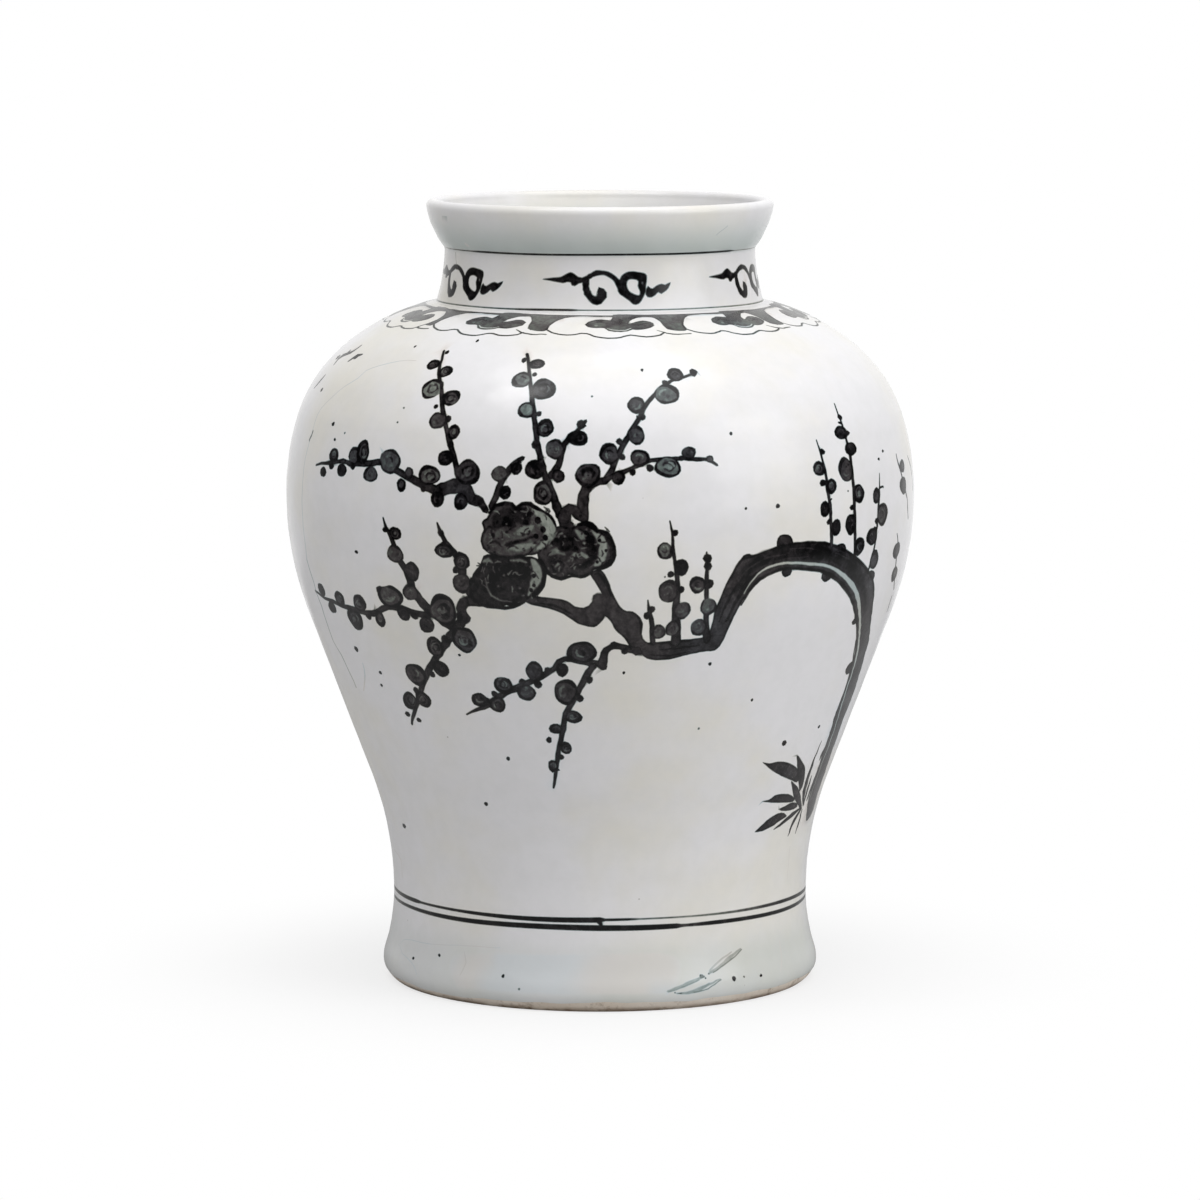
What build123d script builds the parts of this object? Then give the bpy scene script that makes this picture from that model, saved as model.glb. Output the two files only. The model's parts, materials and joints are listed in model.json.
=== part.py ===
"""A baluster-shaped porcelain jar, luted from thrown sections and glazed.

Lengths are in millimetres. The jar stands on z = 0 with its axis on Z. The radii and
heights named below are those of the fired clay, and the glaze adds its own thickness.
Every outline is drawn in radius and height, then turned about the axis.
"""

import os
from math import acos, asin, atan2, cos, degrees, radians, sin

from build123d import *

# Foot: a trimmed ring, bare of glaze where it stands
foot_height = 8.5
foot_spread = 5.5
foot_edge_height = 9.0
foot_undercut = 5.1
foot_width = 12.2
foot_flare_bend = 19.0
foot_draft = 2.0
foot_bevel = 0.8

# Waist, and the slab inside it
waist_radius = 105.8
waist_height = 44.0
slab_thickness = 9.0

# Flank: its two bends, as shares of the two that would meet without a straight between
waist_bend_share = 0.423
belly_bend_share = 0.397

# Belly, and the shoulder that rises from it to the neck
belly_height = 249.5
shoulder_rise = 98.0
shoulder_reach = 77.1
upper_belly_bend = 137.5
upper_belly_sweep = 15.6
shoulder_sweep = 35.0
crown_sweep = 27.9

# Neck
neck_base_radius = 83.0
neck_height = 28.2
neck_taper = 4.5
neck_hollow = 1.2
neck_wall = 6.0

# Mouth ring, up to where its lip starts to round over
mouth_height = 20.9
mouth_flare = 9.4
mouth_bulge = 1.5
lip_thickness = 5.8

# Wall of the body
wall = 7.0

# Luting: keyed joints bedded in slip, a bead inside the belly and a coil round the slab
slip = 0.8
key_depth = 2.0
bead_radius = 2.4
coil_radius = 10.0

# Glaze, and the height on the foot at which it stops
glaze = 0.5
glaze_line_height = 4.5

# How far the cutting outlines run past the clay
overrun = 20.0


def along(angle):
    """The unit vector at this many degrees from the outward radius."""
    return Vector(cos(radians(angle)), sin(radians(angle)))


# Foot: the standing ring, the round edge under it and the widest point
foot_edge_radius = waist_radius + foot_spread
foot_contact_radius = foot_edge_radius - foot_undercut
foot_inner_radius = foot_contact_radius - foot_width
foot_under_bend = (foot_undercut**2 + foot_edge_height**2) / (2 * foot_undercut)
foot_under_turn = degrees(asin(foot_edge_height / foot_under_bend))

# Foot flare: two equal and opposite turns between the foot's edge and the waist
flare_rise = waist_height - foot_edge_height
flare_turn = degrees(2 * atan2(foot_spread, flare_rise))
waist_flare_bend = flare_rise / sin(radians(flare_turn)) - foot_flare_bend

# Flank: the straight line that touches the hollow waist and the round belly
belly_radius = neck_base_radius + shoulder_reach
flank_rise = belly_height - waist_height
flank_turn = 2 * atan2(belly_radius - waist_radius, flank_rise)
waist_bend = waist_bend_share * flank_rise / sin(flank_turn)
lower_belly_bend = belly_bend_share * flank_rise / sin(flank_turn)
waist_centre = Vector(waist_radius + waist_bend, waist_height)
lower_belly_centre = Vector(belly_radius - lower_belly_bend, belly_height)
centre_line = lower_belly_centre - waist_centre
centre_lean = degrees(atan2(-centre_line.X, centre_line.Y))
touch_lean = degrees(acos((waist_bend + lower_belly_bend) / centre_line.length))
flank_lean = 90 - centre_lean - touch_lean

# Shoulder: after the upper belly, the bends of the shoulder and of the crown are the two
# that reach the neck in the given sweeps
shoulder_start = along(upper_belly_sweep)
crown_start = along(upper_belly_sweep + shoulder_sweep)
crown_end = upper_belly_sweep + shoulder_sweep + crown_sweep
to_crown = crown_start - shoulder_start
to_neck = along(crown_end) - crown_start
left_to_go = Vector(upper_belly_bend - shoulder_reach, shoulder_rise) - shoulder_start * upper_belly_bend
turn_product = to_crown.X * to_neck.Y - to_crown.Y * to_neck.X
shoulder_bend = (left_to_go.X * to_neck.Y - left_to_go.Y * to_neck.X) / turn_product
crown_bend = (to_crown.X * left_to_go.Y - to_crown.Y * left_to_go.X) / turn_product
upper_belly_centre = Vector(belly_radius - upper_belly_bend, belly_height)
shoulder_centre = upper_belly_centre + shoulder_start * (upper_belly_bend - shoulder_bend)
crown_centre = shoulder_centre + crown_start * (shoulder_bend - crown_bend)

# Neck and mouth
neck_base_height = belly_height + shoulder_rise
neck_top_height = neck_base_height + neck_height
neck_top_radius = neck_base_radius - neck_taper
neck_corner = (neck_base_radius, neck_base_height)
mouth_edge_height = neck_top_height + mouth_height
mouth_radius = neck_top_radius + mouth_flare
lip_inner_radius = mouth_radius - lip_thickness
lip_radius = mouth_radius - lip_thickness / 2
lip_height = mouth_edge_height + lip_thickness / 2

# Inside of the neck: a round turn from under the crown into the straight throat
throat_radius = neck_top_radius - neck_wall
crown_inside = crown_centre + along(crown_end) * (crown_bend - wall)
throat_bend = (crown_inside.X - throat_radius) / (1 - cos(radians(crown_end)))
throat_bottom = crown_inside.Y + throat_bend * sin(radians(crown_end))

# Floor, inner wall, and the outer bounds of the cutting outlines
recess_height = foot_height + slip
floor_height = recess_height + slab_thickness
inner_waist_radius = waist_radius - wall
slab_radius = inner_waist_radius - slip
reach = belly_radius + overrun
top = lip_height + overrun


def body_line(depth):
    """Waist, flank, belly, shoulder and crown, drawn this far under the clay's surface."""
    hollow = CenterArc(waist_centre, waist_bend + depth, 180, -flank_lean)
    belly = CenterArc(lower_belly_centre, lower_belly_bend - depth, -flank_lean, flank_lean)
    Line(hollow @ 1, belly @ 0)
    CenterArc(upper_belly_centre, upper_belly_bend - depth, 0, upper_belly_sweep)
    CenterArc(shoulder_centre, shoulder_bend - depth, upper_belly_sweep, shoulder_sweep)
    CenterArc(crown_centre, crown_bend - depth, crown_end, -crown_sweep)


def foot_line():
    """Recess under the slab, standing ring, and the foot's outer edge up to the waist."""
    Polyline(
        (0, recess_height),
        (foot_inner_radius - foot_draft, recess_height),
        (foot_inner_radius, 0),
        (foot_contact_radius, 0),
    )
    edge = (foot_edge_radius - foot_under_bend, foot_edge_height)
    CenterArc(edge, foot_under_bend, -foot_under_turn, foot_under_turn)
    flare = (foot_edge_radius - foot_flare_bend, foot_edge_height)
    CenterArc(flare, foot_flare_bend, 0, flare_turn)
    CenterArc((waist_radius + waist_flare_bend, waist_height), waist_flare_bend, 180, flare_turn)


def mouth_line():
    """Neck, mouth ring and lip outside, then the mouth and the throat inside."""
    groove = (neck_top_radius, neck_top_height)
    outer_edge = (mouth_radius, mouth_edge_height)
    inner_edge = (lip_inner_radius, mouth_edge_height)
    SagittaArc(neck_corner, groove, neck_hollow)
    SagittaArc(groove, outer_edge, -mouth_bulge)
    ThreePointArc(outer_edge, (lip_radius, lip_height), inner_edge)
    Polyline(inner_edge, (throat_radius, neck_top_height), (throat_radius, throat_bottom))
    CenterArc((throat_radius + throat_bend, throat_bottom), throat_bend, 180, crown_end)


def floor_line():
    """Inner wall of the waist, the coil in its corner, and the floor in to the axis."""
    coil = (inner_waist_radius - coil_radius, floor_height + coil_radius)
    Line((inner_waist_radius, waist_height), (inner_waist_radius, floor_height + coil_radius))
    CenterArc(coil, coil_radius, 270, 90)
    Polyline(
        (inner_waist_radius - coil_radius, floor_height),
        (0, floor_height),
        (0, recess_height),
    )


# Section of the whole clay wall, with the bead inside the belly joint
with BuildSketch() as clay:
    with BuildLine():
        foot_line()
        body_line(0)
        mouth_line()
        body_line(wall)
        floor_line()
    make_face()
    with Locations((belly_radius - wall, belly_height + slip / 2)):
        Circle(bead_radius)

# Section of the coat that covers the clay, before it is cut to the glazed surfaces
with BuildSketch() as coat:
    add(clay.sketch_local)
    offset(amount=glaze, kind=Kind.ARC)
    add(clay.sketch_local, mode=Mode.SUBTRACT)


def keyed_joint(inner_radius, outer_radius, height):
    """The line of a joint from the axis outwards, dipping to a key in the wall's middle."""
    middle = (inner_radius + outer_radius) / 2
    return [
        (0, height),
        (inner_radius, height),
        (middle, height - key_depth),
        (outer_radius, height),
        (reach, height),
    ]


def foot_joint(height):
    """The joint between the foot ring and the lower wall."""
    return keyed_joint(inner_waist_radius, foot_edge_radius, height)


def belly_joint(height):
    """The joint between the lower and the upper wall."""
    return keyed_joint(belly_radius - wall, belly_radius, height)


def neck_joint(height):
    """The joint between the upper wall and the neck collar."""
    return keyed_joint(throat_radius, neck_base_radius, height)


def mouth_joint(height):
    """The joint between the neck collar and the mouth ring."""
    return keyed_joint(throat_radius, neck_top_radius, height)


def wall_between(lower_line, upper_line):
    """Section of the wall between two lines that both run outwards from the axis."""
    with BuildSketch(Plane.XZ) as section:
        add(clay.sketch_local)
        with BuildLine():
            Polyline(*lower_line, *reversed(upper_line), close=True)
        make_face(mode=Mode.INTERSECT)
    return section.sketch


def coat_beside_mid_wall(*corners):
    """Section of the coat on the side of the wall's middle that these corners enclose."""
    depth = wall / 2
    with BuildSketch(Plane.XZ) as section:
        add(coat.sketch_local)
        with BuildLine():
            body_line(depth)
            Polyline(
                crown_centre + along(crown_end) * (crown_bend - depth),
                (throat_radius + depth, throat_bottom),
                (throat_radius + depth, neck_top_height),
                (lip_radius, mouth_edge_height),
                (lip_radius, top),
                *corners,
                (waist_radius - depth, waist_height),
            )
        make_face(mode=Mode.INTERSECT)
    return section.sketch


with BuildPart() as foot_ring:
    revolve(wall_between([(0, 0), (reach, 0)], foot_joint(foot_height)), axis=Axis.Z)
    fillet(foot_ring.edges().group_by(Axis.Z)[0], radius=foot_bevel)

with BuildPart() as foot_slip:
    revolve(wall_between(foot_joint(foot_height), foot_joint(recess_height)), axis=Axis.Z)

with BuildPart() as base_slab:
    with BuildSketch(Plane.XY.offset(recess_height)):
        Circle(slab_radius)
    extrude(amount=slab_thickness)

# Soft clay round the slab's edge, smoothed into the corner above it
with BuildPart() as base_coil:
    with BuildSketch(Plane.XZ):
        add(clay.sketch_local)
        with BuildLine():
            Polyline(
                (slab_radius, recess_height),
                (inner_waist_radius, recess_height),
                (inner_waist_radius, waist_height),
                (0, waist_height),
                (0, floor_height),
                (slab_radius, floor_height),
                close=True,
            )
        make_face(mode=Mode.INTERSECT)
    revolve(axis=Axis.Z)

with BuildPart() as lower_wall:
    revolve(wall_between(foot_joint(recess_height), belly_joint(belly_height)), axis=Axis.Z)
    with BuildSketch():
        Circle(inner_waist_radius)
    extrude(amount=waist_height, mode=Mode.SUBTRACT)

with BuildPart() as belly_slip:
    revolve(wall_between(belly_joint(belly_height), belly_joint(belly_height + slip)), axis=Axis.Z)

with BuildPart() as upper_wall:
    revolve(wall_between(belly_joint(belly_height + slip), neck_joint(neck_base_height)), axis=Axis.Z)

with BuildPart() as neck_slip:
    revolve(wall_between(neck_joint(neck_base_height), neck_joint(neck_base_height + slip)), axis=Axis.Z)

with BuildPart() as neck_collar:
    section = wall_between(
        neck_joint(neck_base_height + slip),
        mouth_joint(neck_top_height - slip),
    )
    revolve(section, axis=Axis.Z)

with BuildPart() as mouth_slip:
    revolve(wall_between(mouth_joint(neck_top_height - slip), mouth_joint(neck_top_height)), axis=Axis.Z)

with BuildPart() as mouth_ring:
    revolve(wall_between(mouth_joint(neck_top_height), [(0, top), (reach, top)]), axis=Axis.Z)

with BuildPart() as outside_glaze:
    section = coat_beside_mid_wall(
        (reach, top),
        (reach, glaze_line_height),
        (waist_radius - wall / 2, glaze_line_height),
    )
    revolve(section, axis=Axis.Z)

with BuildPart() as inside_glaze:
    section = coat_beside_mid_wall(
        (0, top),
        (0, recess_height + slab_thickness / 2),
        (waist_radius - wall / 2, recess_height + slab_thickness / 2),
    )
    revolve(section, axis=Axis.Z)

pieces = {
    "foot_ring": foot_ring,
    "foot_slip": foot_slip,
    "base_slab": base_slab,
    "base_coil": base_coil,
    "lower_wall": lower_wall,
    "belly_slip": belly_slip,
    "upper_wall": upper_wall,
    "neck_slip": neck_slip,
    "neck_collar": neck_collar,
    "mouth_slip": mouth_slip,
    "mouth_ring": mouth_ring,
    "outside_glaze": outside_glaze,
    "inside_glaze": inside_glaze,
}

os.makedirs("parts", exist_ok=True)
for name, piece in pieces.items():
    piece.part.label = name
    export_step(piece.part, f"parts/{name}.step")
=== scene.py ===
"""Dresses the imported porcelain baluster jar: painted glaze outside, plain glaze inside, bare foot ring.

All outline lengths are millimetres until a mesh is made. A place on the painted skin is a pair
(turn, rise): the angle round the axis from the front, and the conformal height, both in radians,
so that a small shape keeps its proportions anywhere on the jar.
"""
import json
import math
import random

import bpy
import numpy as np
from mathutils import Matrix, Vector
from mathutils.geometry import delaunay_2d_cdt
from mathutils.kdtree import KDTree


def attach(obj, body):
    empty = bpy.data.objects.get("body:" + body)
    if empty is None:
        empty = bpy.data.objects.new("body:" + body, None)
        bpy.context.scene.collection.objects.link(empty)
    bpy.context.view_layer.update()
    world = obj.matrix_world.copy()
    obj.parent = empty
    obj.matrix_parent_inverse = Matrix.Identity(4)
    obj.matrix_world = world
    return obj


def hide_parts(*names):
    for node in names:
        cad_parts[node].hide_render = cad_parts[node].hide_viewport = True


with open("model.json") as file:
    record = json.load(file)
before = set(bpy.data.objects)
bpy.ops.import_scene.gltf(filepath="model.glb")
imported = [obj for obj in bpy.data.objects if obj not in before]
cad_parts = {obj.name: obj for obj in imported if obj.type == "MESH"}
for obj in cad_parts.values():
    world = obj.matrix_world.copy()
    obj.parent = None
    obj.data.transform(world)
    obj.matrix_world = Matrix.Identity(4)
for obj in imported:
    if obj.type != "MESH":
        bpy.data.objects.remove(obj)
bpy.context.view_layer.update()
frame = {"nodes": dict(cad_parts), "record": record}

MM = 0.001
PI = math.pi

# Outline of the clay

GLAZE = 0.5
GLAZE_LINE_HEIGHT = 4.5
FOOT_EDGE_HEIGHT = 9
# Each arc has its centre's radius and height, its bend, and its first and last angle in degrees
OUTER_ARCS = (
    (100.81, 9.0, 10.49, -59.1, 0.0),
    (92.3, 9.0, 19.0, 0.0, 17.87),
    (200.87, 44.0, 95.07, 197.87, 180.0),
    (281.77, 44.0, 175.97, 180.0, 159.19),
    (-5.06, 249.5, 165.16, -20.81, 0.0),
    (22.6, 249.5, 137.5, 0.0, 15.6),
    (80.92, 265.78, 76.95, 15.6, 50.6),
    (61.586, 242.249, 107.41, 50.6, 78.5),
)
NECK_CORNER = (83.0, 347.5)
GROOVE = (78.5, 375.7)
MOUTH_EDGE = (87.9, 396.6)
NECK_HOLLOW = 1.2
MOUTH_BULGE = 1.5
LIP_ARC = (85.0, 396.6, 2.9, 0.0, 180.0)
LIP_INSIDE = (82.1, 396.6)
THROAT_TOP = (72.5, 375.7)
THROAT_BOTTOM = (72.5, 351.78)
INNER_ARCS = (
    (83.87, 351.78, 11.37, 180.0, 258.5),
    (61.586, 242.249, 100.41, 78.5, 50.6),
    (80.92, 265.78, 69.95, 50.6, 15.6),
    (22.6, 249.5, 130.5, 15.6, 0.0),
    (-5.06, 249.5, 158.16, 0.0, -20.81),
    (281.77, 44.0, 182.97, 159.19, 180.0),
)
WAIST_INSIDE = (98.8, 44.0)
COIL_TOP = (98.8, 28.3)
COIL_ARC = (88.8, 28.3, 10.0, 0.0, -90.0)
FLOOR_EDGE = (88.8, 18.3)
FLOOR_CENTRE = (0, 18.3)
BEAD_HEIGHT, BEAD_SIZE, BEAD_SPREAD = 249.9, 2.3, 1.7
ARC_POINTS = 8
ARC_FINENESS = 30
BOW_POINTS = 60
OUTLINE_STEP = 0.25
CREASE_SOFTNESS = 0.7
# The outline's first points, which only rise, and the last ones before the lip's crest
RISING_POINTS = 400
LIP_POINTS = 8


def arc(radius, height, bend, start, end):
    """Points of an arc in the (radius, height) plane."""
    turn = np.radians(np.linspace(start, end, max(ARC_POINTS, int(abs(end - start) * bend / ARC_FINENESS))))
    return np.column_stack((radius + bend * np.cos(turn), height + bend * np.sin(turn)))


def bowed(start, end, sagitta):
    """A shallow arc between two points, bowed to the left of the way."""
    share = np.linspace(0, 1, BOW_POINTS)[:, None]
    start, way = np.array(start), np.array(end) - np.array(start)
    left = np.array((-way[1], way[0])) / np.hypot(*way)
    return start + share * way + 4 * sagitta * share * (1 - share) * left


def evenly(points, step):
    """The same line with points this far apart."""
    gaps = np.hypot(*np.diff(points, axis=0).T)
    points = points[np.concatenate(([True], gaps > 1e-6))]
    way = np.concatenate(([0], np.cumsum(np.hypot(*np.diff(points, axis=0).T))))
    at = np.linspace(0, way[-1], max(2, int(round(way[-1] / step)) + 1))
    return np.column_stack([np.interp(at, way, points[:, k]) for k in (0, 1)])


def softened(points, softness):
    """The line with its creases rounded over this length."""
    reach = int(4 * softness / OUTLINE_STEP)
    weights = np.exp(-0.5 * (np.arange(-reach, reach + 1) * OUTLINE_STEP / softness) ** 2)
    weights /= weights.sum()
    before = 2 * points[0] - points[reach:0:-1]
    after = 2 * points[-1] - points[-2 : -reach - 2 : -1]
    long = np.vstack((before, points, after))
    return np.column_stack([np.convolve(long[:, k], weights, "valid") for k in (0, 1)])


clay = np.vstack(
    [arc(*a) for a in OUTER_ARCS]
    + [bowed(NECK_CORNER, GROOVE, NECK_HOLLOW), bowed(GROOVE, MOUTH_EDGE, -MOUTH_BULGE)]
    + [arc(*LIP_ARC), bowed(LIP_INSIDE, THROAT_TOP, 0), bowed(THROAT_TOP, THROAT_BOTTOM, 0)]
    + [arc(*a) for a in INNER_ARCS]
    + [bowed(WAIST_INSIDE, COIL_TOP, 0), arc(*COIL_ARC), bowed(FLOOR_EDGE, FLOOR_CENTRE, 0)]
)
clay = softened(evenly(clay, OUTLINE_STEP), CREASE_SOFTNESS)
crest = int(np.argmax(clay[:, 1]))
bead = BEAD_SIZE * np.exp(-0.5 * ((clay[crest:, 1] - BEAD_HEIGHT) / BEAD_SPREAD) ** 2)
clay[crest:, 0] -= bead
line_way = np.concatenate(([0], np.cumsum(np.hypot(*np.diff(clay, axis=0).T))))
tangent = np.gradient(clay, line_way, axis=0)
tangent /= np.hypot(*tangent.T)[:, None]
normal = np.column_stack((tangent[:, 1], -tangent[:, 0]))
line_way -= np.interp(GLAZE_LINE_HEIGHT, clay[:RISING_POINTS, 1], line_way[:RISING_POINTS])
coated = clay + GLAZE * normal
CREST_WAY = line_way[crest]

outer = slice(0, crest + 1)
rise_of = np.concatenate(([0], np.cumsum(np.diff(line_way[outer]) / coated[1 : crest + 1, 0])))
rise_of -= np.interp(0, line_way[outer], rise_of)


def rise_at(way):
    """Conformal height of a length along the outer line."""
    return np.interp(way, line_way[outer], rise_of)


def way_at(rise):
    """Length along the outer line of a conformal height."""
    return np.interp(rise, rise_of, line_way[outer])


def radius_at(rise):
    """Radius of the glazed skin at a conformal height."""
    return np.interp(rise, rise_of, coated[outer, 0])


upright = slice(int(np.argmin(abs(clay[:RISING_POINTS, 1] - FOOT_EDGE_HEIGHT))), crest - LIP_POINTS)


def rise_of_height(height):
    """Conformal height of a height above the table, from the foot's edge to the mouth's edge."""
    return np.interp(height, coated[upright, 1], rise_of[upright])


# Camera of the photograph

IMAGE_SIZE = 1200
FOCAL_PIXELS = 5609.7
CAMERA_PLACE = np.array((0.0, -2858.8, 545.9))
CAMERA_DROP = math.radians(7.019)
SENSOR_WIDTH = 36.0
PIXEL_MM = 0.51
# Distances at which a ray from the camera is tried on the skin, and how often the last gap is halved
DEPTHS = np.linspace(2640, 2880, 161)
HALVINGS = 24


def on_skin(pixels):
    """The (turn, rise) of the skin behind each pixel of the photograph."""
    pixels = np.atleast_2d(np.asarray(pixels, float))
    side = (pixels[:, 0] - IMAGE_SIZE / 2) / FOCAL_PIXELS
    up = (IMAGE_SIZE / 2 - pixels[:, 1]) / FOCAL_PIXELS
    ray = np.column_stack(
        (
            side,
            math.cos(CAMERA_DROP) + up * math.sin(CAMERA_DROP),
            -math.sin(CAMERA_DROP) + up * math.cos(CAMERA_DROP),
        )
    )

    def depth(length):
        """How far outside the skin the ray is at this length."""
        spot = CAMERA_PLACE + length[..., None] * ray[:, None, :]
        skin = np.interp(spot[..., 2], coated[upright, 1], coated[upright, 0])
        return np.hypot(spot[..., 0], spot[..., 1]) - skin

    tries = np.broadcast_to(DEPTHS, (len(ray), len(DEPTHS)))
    gap = depth(tries)
    crossed = (gap[:, :-1] > 0) & (gap[:, 1:] <= 0)
    first = np.where(crossed.any(1), crossed.argmax(1), np.abs(gap).argmin(1).clip(0, len(DEPTHS) - 2))
    rows = np.arange(len(ray))
    near, far = tries[rows, first].copy(), tries[rows, first + 1].copy()
    for _ in range(HALVINGS):
        middle = (near + far) / 2
        outside = depth(middle[:, None])[:, 0] > 0
        near, far = np.where(outside, middle, near), np.where(outside, far, middle)
    length = np.where(crossed.any(1), near, tries[rows, first])
    spot = CAMERA_PLACE + length[:, None] * ray
    return np.column_stack((np.arctan2(spot[:, 0], -spot[:, 1]), rise_of_height(spot[:, 2])))


# Brush marks

# In mm: the softness of an edge, the half widths under which a touch has no ring in the mesh (rings
# of the core lie deeper than CORE_DEPTH), and how far outside a mark its points are looked for
SOFT = 0.3
LEAST_BLOB = 0.4
LEAST_STROKE = 0.1
LEAST_CORE = 0.5
CORE_DEPTH = 0.5
PAINT_MARGIN = 0.3
# The random share of its width that the hand keeps, and the least width of a line in pixels
WIDTH_SHAKE = (0.86, 1.14)
LEAST_WIDTH = 0.2
# The far side's tree is drawn this much coarser
FAR_COARSENESS = 2.7
# A blob's points are this far apart in mm, within these numbers
BLOB_STEP = 1.9
BLOB_POINTS = (8, 40)
# Radii in mm that keep a blob from getting too flat or too broad where the jar turns away
SLIM_RADIUS, BELLY_RADIUS = 100, 160
brush = random.Random(5)
marks = []


def smooth_path(points, step):
    """A Catmull-Rom line through the points, with points about this far apart."""
    points = np.asarray(points, float)
    ends = np.vstack((2 * points[0] - points[1], points, 2 * points[-1] - points[-2]))
    out = []
    for a, b, c, d in zip(ends, ends[1:], ends[2:], ends[3:]):
        count = max(1, int(round(np.hypot(*(c - b)[:2]) / step)))
        t = np.linspace(0, 1, count, endpoint=False)[:, None]
        square, cube = 2 * a - 5 * b + 4 * c - d, 3 * b - a - 3 * c + d
        out.append(0.5 * (2 * b + (c - a) * t + square * t**2 + cube * t**3))
    return np.vstack(out + [points[-1:]])


def unsteady(path, shake):
    """Lets the hand shake a little along a line of pixels and its widths."""
    path = path.copy()
    for spot in path:
        spot[:2] += (brush.uniform(-shake, shake), brush.uniform(-shake, shake))
        spot[2:] *= brush.uniform(*WIDTH_SHAKE)
    return path


class Mark:
    """One touch of the brush. Its knots are distances outside its edge in mm, with ink and cover."""

    def __init__(self, kind, line, half, knots, where):
        self.kind, self.line, self.half = kind, where(np.array(line, float)), half
        self.knots = np.array(knots, float)
        self.centre = self.line.mean(0)
        self.radius = float(radius_at(self.centre[1]))

    def loops(self):
        """Lines of the mesh at each knot, in (turn, rise)."""
        rings = []
        for gap in self.knots[:, 0]:
            ring = self.ring(gap / self.radius)
            if ring is None:
                return rings if self.kind == "shape" else rings + [self.line]
            rings.append(ring)
        return rings

    def ring(self, gap):
        """The mark's outline moved out by this much."""
        if self.kind == "blob":
            size = self.half + gap
            if size.min() <= LEAST_BLOB / self.radius:
                return None
            turn = np.linspace(0, 2 * PI, len(size), endpoint=False)
            ring = self.centre + np.column_stack((np.cos(turn), np.sin(turn))) * size[:, None]
            return np.vstack((ring, ring[:1]))
        way = np.gradient(self.line, axis=0)
        if self.kind == "shape":
            way = np.roll(self.line, -1, 0) - np.roll(self.line, 1, 0)
        length = np.hypot(*way.T)
        length[length == 0] = 1
        out = np.column_stack((way[:, 1], -way[:, 0])) / length[:, None]
        if self.kind == "shape":
            x, y = self.line.T
            ring = self.line + gap * np.sign((x * np.roll(y, -1) - y * np.roll(x, -1)).sum()) * out
            return np.vstack((ring, ring[:1]))
        size = self.half + gap
        least = LEAST_CORE if gap < -CORE_DEPTH / self.radius else LEAST_STROKE
        if size.max() <= least / self.radius:
            return None
        size = np.maximum(size, 0)[:, None]
        tip = self.line[0] - way[0] / length[0] * size[0]
        tail = self.line[-1] + way[-1] / length[-1] * size[-1]
        right, left = self.line + out * size, self.line - out * size
        return np.vstack((tip[None], right, tail[None], left[::-1], tip[None]))

    def outside(self, spots):
        """Distance outside the mark's edge, in radians."""
        if self.kind == "blob":
            offset = spots - self.centre
            turn = np.arctan2(offset[:, 1], offset[:, 0]) % (2 * PI)
            rim = np.append(self.half, self.half[0])
            return np.hypot(*offset.T) - np.interp(turn, np.linspace(0, 2 * PI, len(rim)), rim)
        line = self.line if self.kind == "stroke" else np.vstack((self.line, self.line[:1]))
        half = self.half if self.kind == "stroke" else np.zeros(len(line))
        best = np.full(len(spots), 1e9)
        inside = np.zeros(len(spots), bool)
        for a, b, wide_a, wide_b in zip(line, line[1:], half, half[1:]):
            way = b - a
            square = max(way @ way, 1e-18)
            t = np.clip((spots - a) @ way / square, 0, 1)
            gap = np.hypot(*(spots - a - t[:, None] * way).T) - wide_a - t * (wide_b - wide_a)
            best = np.minimum(best, gap)
            if self.kind == "shape" and a[1] != b[1]:
                crosses = (a[1] > spots[:, 1]) != (b[1] > spots[:, 1])
                inside ^= crosses & (spots[:, 0] < a[0] + (spots[:, 1] - a[1]) * way[0] / way[1])
        return np.where(inside, -best, best)

    def paint(self, spots, radii, ink):
        """Lays the mark over the ink that is there. The spots lie in the order of their rise."""
        reach = self.half.max() + (self.knots[0, 0] + PAINT_MARGIN) / self.radius
        low, high = self.line.min(0) - reach, self.line.max(0) + reach
        first, last = np.searchsorted(spots[:, 1], (low[1], high[1]))
        knots = self.knots[::-1]
        for shift in (0, 2 * PI, -2 * PI, 4 * PI):
            turn = spots[first:last, 0] + shift
            near = first + np.nonzero((turn > low[0]) & (turn < high[0]))[0]
            if not len(near):
                continue
            gap = self.outside(spots[near] + (shift, 0)) * radii[near]
            cover = np.interp(gap, knots[:, 0], knots[:, 2])
            value = np.interp(gap, knots[:, 0], knots[:, 1])
            ink[near] += (value - ink[near]) * cover


def here(line):
    """The front painting stays where the photograph shows it."""
    return line


def edged(fill, rim, rim_width):
    """Knots of a mark with a darker rim where the colour gathered."""
    return (SOFT, rim, 0), (-SOFT, rim, 1), (-SOFT - rim_width, fill, 1)


def plain(value, cover=1.0, soft=SOFT):
    """Knots of a mark of one tone with a soft edge."""
    return (soft, value, 0), (-soft, value, cover)


def add_mark(kind, line, half, knots, where):
    """Puts one touch on the list. Later touches lie over earlier ones."""
    marks.append(Mark(kind, line, half, knots, where))


def coarseness(where):
    """How much coarser the far side's tree is drawn."""
    return FAR_COARSENESS if where is behind else 1.0


def stroke(points, widths, knots, where=here, step=4.5, shake=0.28):
    """A brush line through pixels, with its width in pixels at each point."""
    widths = np.interp(np.linspace(0, 1, len(points)), np.linspace(0, 1, len(widths)), widths)
    path = unsteady(smooth_path(np.column_stack((points, widths)), step * coarseness(where)), shake)
    line = on_skin(path[:, :2])
    half = np.maximum(path[:, 2], LEAST_WIDTH) * PIXEL_MM / 2 / radius_at(line[:, 1])
    add_mark("stroke", line, half, knots, where)


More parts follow.
